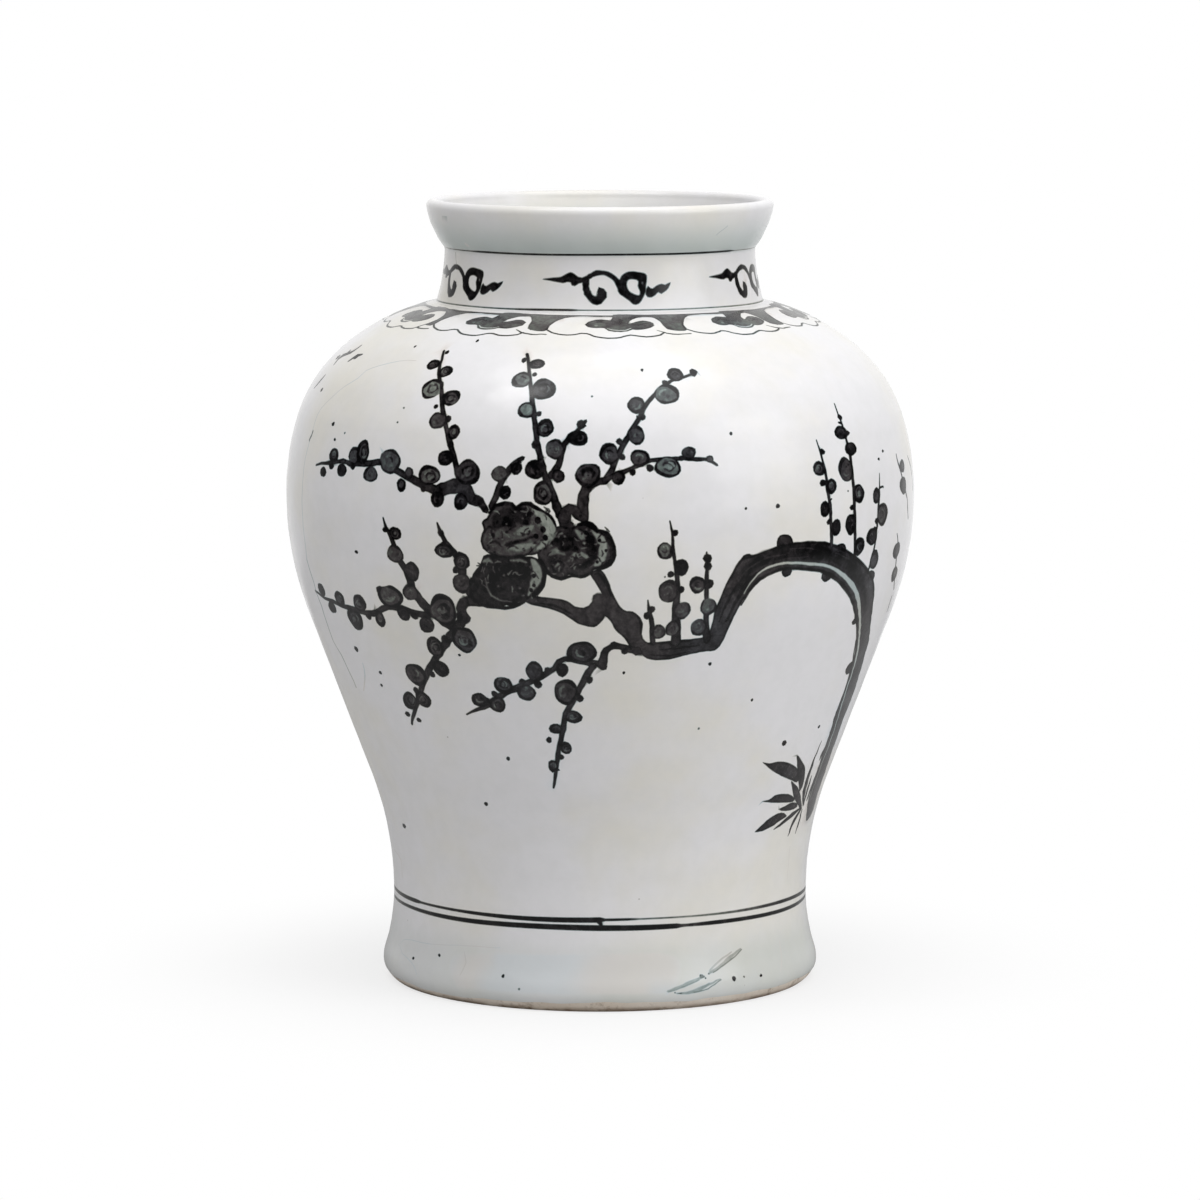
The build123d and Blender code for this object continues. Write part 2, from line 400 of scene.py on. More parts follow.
def shape(points, knots, where=here, step=3.5, shake=0.2):
    """A closed outline through pixels."""
    points = np.asarray(points, float)
    wrapped = np.vstack((points[-2:], points, points[:3]))
    path = smooth_path(wrapped, step * coarseness(where))
    middle = len(path) // 2
    start, end = (
        int(np.argmin(np.hypot(*(part - points[0]).T))) for part in (path[:middle], path[middle:])
    )
    path = unsteady(path[start : middle + end], shake)
    add_mark("shape", on_skin(path), np.zeros(len(path)), knots, where)


def blob(spot, size, knots, where=here, tall=None, wobble=0.06):
    """A round touch at a pixel, with its half width and half height in pixels."""
    tall = size if tall is None else tall
    x, y = spot
    sides = on_skin([(x, y), (x - size, y), (x + size, y), (x, y - tall), (x, y + tall)])
    high = max(abs(sides[3, 1] - sides[4, 1]) / 2, 0.3 * tall * PIXEL_MM / SLIM_RADIUS)
    wide = min(abs(sides[2, 0] - sides[1, 0]) / 2, 1.5 * max(high, size * PIXEL_MM / BELLY_RADIUS))
    radius = float(radius_at(sides[0, 1]))
    fewest, most = BLOB_POINTS
    around = 2 * PI * max(wide, high) * radius
    count = int(min(most, max(fewest, around / (BLOB_STEP * coarseness(where)))))
    turn = np.linspace(0, 2 * PI, count, endpoint=False)
    rim = 1 / np.hypot(np.cos(turn) / wide, np.sin(turn) / high)
    for wave in (2, 3, 5):
        lean = wobble * brush.uniform(0.3, 1)
        rim = rim * (1 + lean * np.cos(wave * turn + brush.uniform(0, 2 * PI)) / wave**0.5)
    add_mark("blob", sides[:1], rim, knots, where)


# Four kinds of small flowers: tones of the fill and the rim, width of the rim in pixels, tones of
# the dark and the pale touches, and the chances of a pale and of a dark touch
TONES = {
    "m": (0.8, 1.0, 2.0, 1.0, 0.5, 0.75, 0.7),
    "d": (0.95, 1.0, 1.6, 1.0, 0.72, 0.4, 0.5),
    # The pale kind "p": its lighter fill is partly the flowers' own wash and partly painted highlight, the
    # glaze's sheen over the shoulders
    "p": (0.6, 0.97, 1.7, 0.88, 0.38, 0.6, 0.5),
    "s": (0.78, 0.94, 1.2, 0.92, 0.62, 0.3, 0.25),
}
FILL_SHAKE = (-0.09, 0.06)
MIDDLE_SHIFT = (0.05, 0.15)
LEAST_MIDDLE = 0.3
# Half sizes in pixels from which a flower has inner discs, and touches
DISC_SIZE, TOUCH_SIZE = 5, 4.5
DISC_CHANCE = 0.6
SPECK_APART = 2.6
# Spurs of a twig: their places as shares of its length, and the chance of each
SPUR_PLACES = (0.12, 0.3, 0.55, 0.8)
SPUR_CHANCE = 0.45
TWIG_BREADTH = 1.5


def off_centre(centre, wide, tall, reach, turn):
    """The place in an ellipse at this share of its reach and this turn."""
    x, y = centre
    return x + wide * reach * math.cos(turn), y + tall * reach * math.sin(turn)


def blossom(x, y, wide, tall, kind, where=here):
    """A small round flower: a dark disc, its paler middle a little off centre, and brush touches."""
    fill, rim, rim_width, dark, pale, pale_chance, dark_chance = TONES[kind]
    fill += brush.uniform(*FILL_SHAKE)
    size = min(wide, tall)
    blob((x, y), wide, plain(rim), where, tall, 0.09)
    left = 1 - (rim_width + 0.04 * size) / size
    if left < LEAST_MIDDLE:
        return
    turn, shift = brush.uniform(0, 2 * PI), brush.uniform(*MIDDLE_SHIFT)
    centre = off_centre((x, y), wide, tall, shift, turn)
    blob(centre, left * wide, plain(fill, 1, 0.35), where, left * tall, 0.15)
    near = where is here

    def touch(reach, start, sweep, width, tone, cover):
        """A bent brush line inside the flower."""
        turns = start + np.linspace(0, sweep, 5)
        reaches = np.linspace(reach, reach * brush.uniform(0.7, 1.1), 5)
        across, down = wide * reaches * np.cos(turns), tall * reaches * np.sin(turns)
        line = np.column_stack((centre[0] + across, centre[1] + down))
        stroke(line, [0.5 * width, width, 0.6 * width], plain(tone, cover, 0.3), where, 3.0, 0.35)

    if near and size > DISC_SIZE and kind in "mp" and brush.random() < DISC_CHANCE:
        for share, tone, cover in ((0.52, dark, 0.85), (0.32, (pale + fill) / 2, 0.9)):
            spot = off_centre(centre, wide, tall, 0.1, brush.uniform(0, 2 * PI))
            blob(spot, share * wide, plain(tone, cover, 0.35), where, share * tall, 0.2)
    if size <= TOUCH_SIZE:
        return
    for chance, reach, starts, sweeps, width, tone, cover in (
        (pale_chance, 0.45, (1, 3), (1.2, 2.6), 0.26, pale, 0.85),
        (dark_chance, 0.36, (3, 5), (1.5, 3), 0.24, dark, 0.9),
    ):
        if brush.random() < chance:
            start = turn + brush.uniform(*starts)
            sweep = brush.choice((-1, 1)) * brush.uniform(*sweeps)
            touch(reach, start, sweep, width * size, tone, cover)
    for _ in range(int(size / SPECK_APART) if near else 0):
        turn, reach = brush.uniform(0, 2 * PI), brush.uniform(0.1, 0.6)
        tone = fill + brush.choice((-0.2, 0.16))
        spot = off_centre(centre, wide, tall, reach, turn)
        blob(spot, brush.uniform(0.1, 0.2) * size, plain(tone, 0.7, 0.35), where, None, 0.3)


def along_path(path, share):
    """The point and the direction at a share of the path's length."""
    way = np.concatenate(([0], np.cumsum(np.hypot(*np.diff(path, axis=0).T))))
    look = 2
    spot, ahead, back = (
        np.array([np.interp(np.clip(share * way[-1] + k, 0, way[-1]), way, path[:, axis]) for axis in (0, 1)])
        for k in (0, look, -look)
    )
    return spot, (ahead - back) / max(np.hypot(*(ahead - back)), 1e-9)


def twig(points, widths, where):
    """A thin branch from its thorny tip to its base, with a few spurs."""
    stroke(points, [TWIG_BREADTH * width for width in widths], edged(0.88, 0.98, 0.7), where)
    path = smooth_path(points, 2.0)
    for share in SPUR_PLACES:
        if brush.random() < SPUR_CHANCE:
            spot, ahead = along_path(path, share + brush.uniform(-0.05, 0.05))
            side = brush.choice((-1, 1)) * np.array((-ahead[1], ahead[0]))
            tip = spot + (side * 0.9 - ahead * 0.4) * brush.uniform(2.6, 3.8)
            stroke([tip, spot], [1.6, 3.0], plain(0.96, soft=0.24), where, 2.0, 0.1)


# Twigs from tip to base in pixels of the photograph, with their widths
TWIGS = (
    ([(444.3, 350.8), (441.8, 360), (439.3, 369), (439.5, 379), (441.8, 390), (442, 401), (443.4, 413),
      (446.7, 428), (450.1, 443), (453.4, 454.5), (456.7, 468), (459.2, 478), (461.5, 489)],
     [1.8, 2.6, 3.4, 4.2, 5]),
    ([(315.8, 465.2), (321.6, 463.5), (330, 462.7), (343, 461), (350, 463.5), (365, 463.5), (373, 463.5),
      (381.3, 461.8), (389.5, 467.7), (397.8, 471), (406, 476), (416, 481), (426, 486), (437.6, 490.9)],
     [1.4, 3, 4, 4, 4.5, 7.5]),
    ([(437.6, 490.9), (449.2, 487.6), (459.2, 485.6), (467.5, 491), (472.4, 499.2), (480.7, 502.5),
      (486, 511)], [8, 9.5, 9.5, 9, 8, 6, 4.5]),
    ([(527.2, 354.1), (528.5, 363), (529.7, 375), (531.3, 390), (532.3, 401), (534.1, 414.6), (535.5, 428),
      (537.1, 441), (539.6, 454.4), (543.7, 471), (548.7, 484.2), (553.7, 497.5), (558.7, 511), (565, 526)],
     [1.8, 2.6, 3.4, 4, 5, 6.5]),
    ([(523, 457.7), (515.6, 462.7), (509.8, 469.3), (504, 477.6), (499, 487.6), (495.7, 497.5), (491, 507)],
     [2.6, 4.5, 4, 4, 4]),
    ([(585.6, 420.7), (581.1, 426.7), (576.6, 431.5), (568, 439.5), (564, 444.5), (560.2, 459.6),
      (556.5, 469), (551.2, 475.5)], [2, 3, 4, 4.5]),
    ([(696.3, 371.4), (687.3, 376), (675, 379), (666.4, 384.8), (654.4, 395.3), (645.4, 405.8),
      (639.4, 417.7), (630.5, 432.7), (624.5, 443.2), (617, 456.6), (611, 471.6), (605, 480.6)],
     [1.4, 2.4, 3, 3.6, 4.2]),
    ([(605, 480.6), (594.6, 482.1), (588.6, 485), (583.6, 495.5), (583, 508.4), (583.8, 518)],
     [4.5, 5.5, 6.5, 7, 6.5]),
    ([(583.8, 518.2), (578.2, 515.4), (575.4, 510.5), (569.8, 508.6), (565.6, 512.6), (564.2, 519.6),
      (567, 527)], [6.2, 6.5, 7, 7.5, 8.5, 9]),
    ([(717.2, 465), (708.2, 459.8), (696.3, 459.6), (684, 458.5), (666.4, 459.6), (651.4, 460.5),
      (637, 466), (624.5, 471.6), (612.5, 476.1), (605, 480.6)], [1.6, 2.6, 2.6, 3, 4]),
    ([(670.1, 521.1), (672.2, 532.3), (672.9, 545), (674.3, 556), (675.7, 567.4), (677.1, 578.6),
      (677.8, 591.2), (676, 604), (675.7, 616.5), (676.4, 628), (675.7, 643)], [0.8, 2, 2.6, 3.6, 5.5, 6.5]),
    ([(706.5, 552), (706.9, 566), (707, 580), (706.3, 600), (706, 620), (707, 641)], [1, 2.6, 3, 3.6, 5]),
    ([(648, 600.3), (649.1, 609.4), (651.2, 619.3), (652.3, 630.5), (652.8, 643)], [0.8, 3, 3.6]),
    ([(834.6, 403.5), (840.6, 420.4), (846.5, 438.9), (850.7, 455.8), (853.2, 479.5), (854.9, 505),
      (855.4, 526.8), (855, 554)], [0.8, 2.6, 3, 3]),
    ([(816.9, 439.8), (821.1, 454.2), (825.4, 471), (827.9, 489.6), (830.4, 505), (831.3, 521.8),
      (832.1, 547)], [0.8, 2.4, 3, 2.6]),
    ([(879.8, 473.6), (879.8, 489.6), (878.6, 510), (876.9, 530.2), (874.4, 547), (868.4, 572)],
     [0.8, 2.2, 2.2, 2]),
    ([(383.4, 517.4), (386.2, 527.4), (390.4, 535.6), (394.5, 545.6), (398, 555), (401.1, 562), (406, 570),
      (409.6, 580), (414.6, 591.5), (422.7, 603), (429.5, 610), (440, 618), (452.5, 627)],
     [1.2, 3.4, 4, 5, 6, 8, 7]),
    ([(437.3, 522.4), (440.9, 532.3), (445.9, 542.3), (454.2, 552.2), (461, 565), (464, 580), (471, 593)],
     [1.2, 3.4, 4.5, 6, 6]),
    ([(315.3, 590.7), (325, 598), (333.2, 601.5), (344.8, 606.4), (356.4, 609.7), (366.3, 613),
      (373, 613.4), (379.6, 610.8), (388, 606.8), (402.8, 608.5), (416, 613), (428, 616)],
     [1.4, 3, 4, 4, 4, 4.5]),
    ([(411.9, 724.2), (412.8, 717.5), (416, 707.6), (419.4, 696), (422.7, 684.4), (427.7, 672.8),
      (432.7, 662.8), (439.3, 653), (445.9, 643), (452.5, 633), (459.5, 625), (464, 617.5), (461, 609),
      (464.5, 602)], [1.6, 3.4, 4.4, 4.5, 5.5, 6.5, 7, 7.5]),
    ([(466.6, 714.2), (475.8, 710), (487.4, 705.9), (495.7, 699.3), (505.6, 692.7), (514, 689.3),
      (524, 684.4), (535.5, 679.4), (545.4, 674.2), (554.5, 668.5), (558.6, 661.6), (564.2, 658.8),
      (575.4, 660.5), (589, 663), (599, 663.5)], [1, 4, 4.4, 4.4, 4, 4, 4.5]),
    ([(602, 665.6), (603.5, 657.1), (606.3, 650.1), (613.3, 646.1), (620.3, 646.6), (629, 648.9),
      (638, 651.5)], [6, 4.4, 4.2, 4.6, 6]),
    ([(553.5, 788), (556, 771), (558.7, 750), (563.2, 729), (566.1, 714), (573.6, 699), (581.5, 685),
      (586.6, 675.4), (593, 666)], [1.4, 3, 4, 4, 4.4, 5]),
)
# Marks near the left and the right outline
EDGE_STROKES = (
    ([(361.4, 345.3), (351.4, 352.4), (341.5, 355.7), (334, 364.5)], [1.4, 2.4, 3.4, 1.2]),
    ([(362.2, 354.6), (356.4, 355.7), (348.1, 361.2)], [1.4, 2.8, 1.4]),
    ([(349.5, 351), (346.5, 354.5)], [3, 1.6]), ([(325.7, 374.8), (320, 381), (314.1, 388.1)], [1, 2.2, 1]),
    ([(313, 431), (309.5, 440)], [1, 1.6]),
    ([(896.3, 454.2), (898, 462.6), (901, 472), (904, 485), (907, 498), (908.2, 518.4)], [1, 1.8, 1.6, 1.4]),
    ([(907.3, 455.8), (910.5, 466), (912, 477), (912.6, 490)], [0.8, 1.8, 1.2]),
    ([(897.2, 533.6), (898, 543.7), (896.4, 560), (893.8, 589.4)], [0.8, 1.6, 1]),
    ([(892.1, 596.1), (889.6, 604), (887, 612.2)], [1.2, 1.6, 0.8]),
)
# Small flowers: x, y, half width, half height and kind
FLOWERS = (
    (433.5, 364.5, 6.6, 5, "m"), (445.6, 371.5, 7, 5.8, "m"), (432.2, 388.4, 10.3, 10, "p"),
    (451.2, 397.7, 9, 8, "m"), (437.3, 420.9, 8.3, 8.3, "s"), (453.9, 432, 6.3, 7.5, "m"),
    (445.9, 458, 8, 8, "d"), (468.3, 472.6, 12.4, 12.4, "m"), (334, 455.2, 4.6, 7.5, "m"),
    (323.2, 471.8, 3.3, 5, "d"), (341.8, 470.1, 5, 6.6, "d"), (354.4, 455.4, 5.8, 9, "s"),
    (363, 451.9, 6.3, 12.4, "m"), (370.5, 474.3, 7, 8, "s"), (390.4, 461.4, 10.3, 12.4, "s"),
    (409.4, 472.6, 4.2, 5.8, "s"), (401.5, 485.1, 4.6, 7, "m"), (429.3, 475.1, 11.6, 9.6, "m"),
    (437.6, 499.2, 6.6, 8.3, "d"), (460.8, 501.6, 7, 8.6, "d"), (536.8, 364, 8, 5, "m"),
    (521.4, 379.8, 9.6, 8, "p"), (543.7, 388.9, 12.4, 10.3, "m"), (526.3, 410.4, 8.6, 8, "p"),
    (545.1, 427.9, 9, 9, "m"), (555, 449.2, 9.6, 10, "s"), (577.5, 438.1, 10.5, 8, "d"),
    (558.1, 476.1, 6.6, 7, "d"), (534.6, 469.6, 10, 9.6, "d"), (542.9, 493.4, 10, 12, "m"),
    (516.4, 468.5, 5.8, 6.6, "d"), (499.8, 474.3, 8.3, 8.3, "s"), (504.8, 492.5, 6.6, 7, "d"),
    (675.3, 374.4, 8.4, 6.6, "m"), (667, 393.8, 12.5, 10, "p"), (636.4, 405.2, 9, 8.4, "m"),
    (636.4, 435.1, 8.4, 9.6, "s"), (608.9, 453.6, 9.6, 11, "m"), (588, 475.2, 12.5, 12.5, "m"),
    (688.8, 453, 7.2, 6.6, "s"), (667.9, 467.1, 13.4, 10.5, "p"), (640, 458.1, 9.6, 9, "m"),
    (618.5, 477.6, 6.6, 7.8, "d"), (709.7, 459, 4, 3.6, "s"), (665.2, 551.2, 8, 8.7, "p"),
    (681.3, 567.4, 7.5, 8.4, "d"), (668.7, 591.2, 9.8, 12, "s"), (682, 610.8, 8.7, 8.7, "s"),
    (672.9, 628.4, 7.3, 8, "s"), (658.9, 631.9, 6.6, 7.3, "s"), (697.5, 584.9, 8.4, 8.4, "m"),
    (708.5, 607, 8.4, 8.4, "s"), (699, 627.7, 8.4, 8.4, "s"), (841.4, 432.5, 7, 7, "d"),
    (851.2, 448.7, 6, 6.8, "d"), (846, 469.4, 7, 12.7, "s"), (859.2, 493.5, 5.4, 10, "m"),
    (851.2, 524.3, 5.4, 10.5, "d"), (859.5, 546.3, 5, 9.3, "m"), (819.4, 468.5, 6, 7.6, "m"),
    (832.1, 486.3, 5, 8, "m"), (825.4, 509.1, 4.7, 8.5, "d"), (836.3, 527.7, 5, 8.5, "d"),
    (876.9, 495.6, 3.7, 8, "s"), (882.8, 514.1, 5, 11.8, "s"), (872.3, 536.6, 5.4, 8.5, "d"),
    (874.4, 560.3, 4.2, 8.5, "s"), (395.3, 533.2, 6.3, 6.3, "m"), (395.3, 553.9, 8.5, 8.5, "s"),
    (411.9, 571.6, 7.5, 9.6, "s"), (410.3, 592.3, 7.5, 8, "s"), (444.3, 550.6, 10, 7, "m"),
    (461.7, 561, 8, 9, "m"), (461.7, 583.2, 9, 10, "s"), (321.6, 589.8, 3, 6.3, "m"),
    (332.3, 607.3, 3.6, 5.3, "d"), (339.8, 599, 4.6, 7.5, "m"), (359.7, 603.1, 6.3, 8.3, "m"),
    (355.5, 618.9, 7, 10.3, "m"), (380.4, 618.9, 4.6, 8.3, "m"), (390.4, 596.5, 12.4, 10.8, "m"),
    (403.6, 613.1, 6.3, 7.5, "d"), (443.4, 609.7, 13.3, 15, "m"), (426.8, 624.7, 7.5, 8, "s"),
    (464.2, 639.6, 13, 12, "m"), (435.1, 646.5, 8, 10, "m"), (440.9, 668.6, 8, 8, "d"),
    (416.1, 674.4, 10.3, 10.3, "m"), (410.3, 700.9, 7, 8.6, "m"), (423.5, 699.3, 7, 8, "m"),
    (479.9, 700.1, 8.3, 7, "m"), (497.3, 704.3, 8.3, 8, "m"), (503.1, 685.2, 9, 8.6, "m"),
    (526.3, 692.7, 9, 8.6, "m"), (534.6, 671.4, 8.6, 10, "s"), (562.1, 669.8, 6.3, 7, "d"),
    (581.7, 652.2, 14.7, 11, "m"), (566, 692, 12, 12.6, "m"), (573.6, 716.9, 8.4, 6.6, "m"),
    (555.7, 728.8, 6.6, 5.4, "d"), (566, 748, 6, 6, "m"), (553, 766, 5, 6, "m"),
)
# Small flowers near the outlines: x, y, half width and half height
EDGE_FLOWERS = (
    (338, 357, 3, 3.6), (356, 357, 2.4, 2.4), (902.2, 466, 2.4, 6.8), (903.4, 485.4, 3.2, 8.8),
    (896.7, 550.5, 3.2, 7.6), (894.6, 574.1, 2.6, 6.8),
)
# Buds: x, y and half width
BUDS = (
    (436, 406.6, 2), (448, 419.2, 3.2), (450.6, 444.4, 3), (447, 352.5, 1.8), (331.5, 466, 3),
    (353, 466.8, 2.5), (423.5, 489.2, 2.5), (524.2, 360.2, 2.3), (534.6, 374.5, 2), (538.8, 413.8, 2.5),
    (535.8, 444.4, 4), (581, 424.5, 4), (478, 501, 5), (664.9, 382.7, 2.5), (642.4, 416.8, 3),
    (619.4, 441.7, 3), (622, 457, 3), (681.3, 458.1, 2.4), (632.6, 472.2, 3), (649.9, 468, 3.4),
    (693.3, 372.4, 3.4), (675, 533, 3), (670.8, 574.4, 3), (681.3, 589.8, 3), (651.9, 609.4, 3),
    (647, 615.8, 3.2), (707.6, 558.5, 4), (708, 566.5, 3.6), (709.5, 584, 4), (840.1, 417, 2.4),
    (847.5, 433, 2.4), (852.7, 507.4, 2.5), (822.8, 451.6, 2.5), (823.2, 482.9, 3), (829.6, 521.8, 2.5),
    (877, 521, 2.5), (385, 529.8, 2.2), (440.9, 533, 3), (455.9, 570, 3), (369, 616.5, 2.5),
    (380.4, 589.8, 3.4), (414.4, 615.5, 3.4), (463.3, 617.2, 6), (445.1, 638.8, 3.4), (432.7, 674.4, 2.5),
    (416.1, 690.2, 2.6), (407.8, 714, 2.2), (419, 720, 2), (494.5, 693.8, 2.8), (522.2, 681.9, 3),
    (538, 684.4, 3.6), (547.9, 670.3, 3), (589.4, 680, 3.2), (579.6, 698.3, 3.5), (603, 666.5, 3.6),
    (614, 645, 3.4), (624.5, 651, 3), (508, 681, 2.4), (487, 700, 2.4), (549, 740, 2.6), (561, 757, 2.6),
)
# The trunk's outline, the pale stripe along it, and the dark middle of its arch with its widths
TRUNK = (
    (714.5, 612), (718.7, 602), (724.7, 587.5), (732.2, 573), (741, 559.5), (756, 554.6), (771, 549.4),
    (786, 544.5), (800, 542.4), (815, 541.8), (831, 543.2), (843.9, 548), (855.8, 555.8), (866, 567),
    (872.6, 577), (874.4, 590), (873, 606.3), (870.3, 626), (869, 640), (864.5, 656), (859, 676),
    (852, 697), (843, 720), (837, 737), (830.9, 754.3), (824, 775), (817.1, 795.6), (812.5, 811.7),
    (806.4, 821.4), (806.8, 810.5), (809, 797), (815, 777), (820, 762), (826.6, 742), (833, 723),
    (838.5, 706), (844.6, 690), (850, 671), (854.4, 654), (856, 640), (856, 622), (854.3, 609),
    (850.5, 597), (843.5, 586), (834, 577), (820, 570.6), (798, 569), (783, 569), (764, 577), (755, 584),
    (744.5, 598), (736, 613), (729, 628), (721.8, 643), (715, 650.5), (707, 651.2), (700, 652.2),
    (683.5, 655.7), (669.4, 659.3), (655.4, 660), (647, 658.6), (640.5, 653.6), (631.5, 649), (627, 641.7),
    (621.5, 635.4), (615.7, 630.5), (610.3, 620.7), (604.8, 616), (603, 620), (596.5, 625.8), (590.8, 627),
    (578.2, 623.5), (569.8, 618), (560, 612.2), (547.3, 608), (532, 604.5), (524, 600.5), (528, 595.6),
    (541.7, 596.8), (554.4, 598.2), (567, 601), (575.4, 606.4), (583.8, 607.8), (588.5, 605.5),
    (592, 601.5), (594, 597), (598.3, 594.2), (602, 594), (596.5, 584.2), (590, 573), (600.7, 570),
    (608.4, 581.4), (611.9, 591.2), (616.8, 601), (620.8, 607.3), (626.5, 611.2), (633, 611.6),
    (640, 617.5), (643, 625), (641.8, 634), (645.5, 641.4), (652.6, 642.2), (676.4, 640.3), (700, 638),
    (706, 636), (709.9, 630), (712.6, 621.5),
)
TRUNK_STRIPE = (
    ((744, 594), (751, 582), (762, 571), (776, 564.6), (792, 563), (810, 564), (826, 565.4), (837.2, 570.8),
     (847.3, 579.2), (854.4, 588), (858.8, 601), (860, 618), (859.4, 635), (857.4, 652), (853, 670),
     (846.4, 690), (842, 704), (836.6, 722.1), (832, 735.9), (827.4, 749.7), (821.7, 763.5), (817, 777.2),
     (810.2, 796.8)),
    (0.8, 2.0, 2.6, 3.0, 3.4, 6.0, 5.4, 3.6, 3.2, 2.6, 2.0, 1.6, 1.2, 0.8),
)
ARCH_MIDDLE = (
    ((737, 590), (750, 568), (772, 556), (800, 552), (828, 555), (848, 566), (862, 584), (866, 604)),
    (5, 11, 13, 15, 16, 15, 12, 3),
)
# Dark lines and grain of the trunk, then short thick strokes of the boughs, with their widths
TRUNK_LINES = (
    ([(741, 605), (752, 588), (764, 577.4), (783, 569.4), (798, 569), (820, 570.8)],
     [1.4, 2.6, 2.4, 2.2, 2.6]),
    ([(820, 570.8), (834, 577.2), (843.5, 586.2), (850.5, 597), (854.3, 609.5), (856, 622)],
     [3, 4.4, 4, 2.8, 2]),
    ([(856, 640), (852, 664), (846, 686), (838.5, 706), (833, 722)], [1.4, 1.8, 1.6]),
    ([(731, 578), (742, 560), (758, 555), (778, 547.6), (800, 543.4), (825, 543.4), (846, 550.5)],
     [2, 3, 2.6, 3, 3]),
    ([(846, 550.5), (862, 563.5), (872, 578), (873.5, 594)], [3, 3.4, 3, 1.8]),
    ([(726, 622), (737, 600), (748, 582), (764, 568)], [2, 3.6, 4, 2]),
    ([(719, 622), (727, 603), (738, 583)], [1, 3, 2]), ([(660, 650), (680, 648), (700, 645)], [1, 2.2, 1]),
    ([(650, 655), (670, 655.5), (690, 651.5)], [1, 1.8, 1]),
    ([(648, 644), (668, 642.8), (690, 641)], [1.4, 1.8, 1.4]),
    ([(600, 574), (606, 583), (611, 596)], [2, 3, 1]), ([(637, 616), (641, 624), (640, 634)], [1, 2.4, 1]),
    ([(540, 603), (556, 606), (572, 614)], [1, 2.4, 1]),
)
ARCH_GRAIN = (
    ([(752, 566), (768, 558), (786, 554)], [0.8, 1.8, 0.8]),
    ([(790, 549), (806, 547.5), (820, 550)], [0.8, 1.6, 0.8]),
    ([(815, 562), (832, 563), (846, 571)], [0.8, 2, 0.8]),
    ([(836, 553), (850, 560), (860, 571)], [0.8, 1.6, 0.8]),
    ([(738, 582), (746, 571), (756, 564)], [0.8, 1.8, 0.8]),
    ([(862, 590), (864, 606), (862, 624)], [0.8, 1.6, 0.8]),
    ([(866, 612), (863, 632), (858, 652)], [0.8, 1.8, 1]),
    ([(775, 561), (792, 558), (808, 557)], [0.8, 1.4, 0.8]),
)
# Swellings of the trunk and of the boughs: x, y and half width
TRUNK_LUMPS = (
    (785, 543, 8.5), (747, 560, 6), (841, 549, 5.5), (870.5, 577, 6), (827, 576, 5.5), (787, 572, 5),
    (854.6, 621.5, 3), (850, 668, 5.5),
)
BOUGH_LUMPS = ((598.5, 599, 6), (630.5, 623, 10), (590, 618, 7), (707, 643, 6))
BOUGHS = (
    ([(484, 602), (474, 601.2), (466, 602.4), (461.5, 609), (464, 618), (461, 625)],
     [10, 9.5, 8.5, 7.5, 8, 7]),
    ([(827.4, 742.8), (823, 752), (819.4, 760)], [1.4, 5, 1.4]), ([(836, 712), (834.5, 719)], [2.4, 3.4]),
)

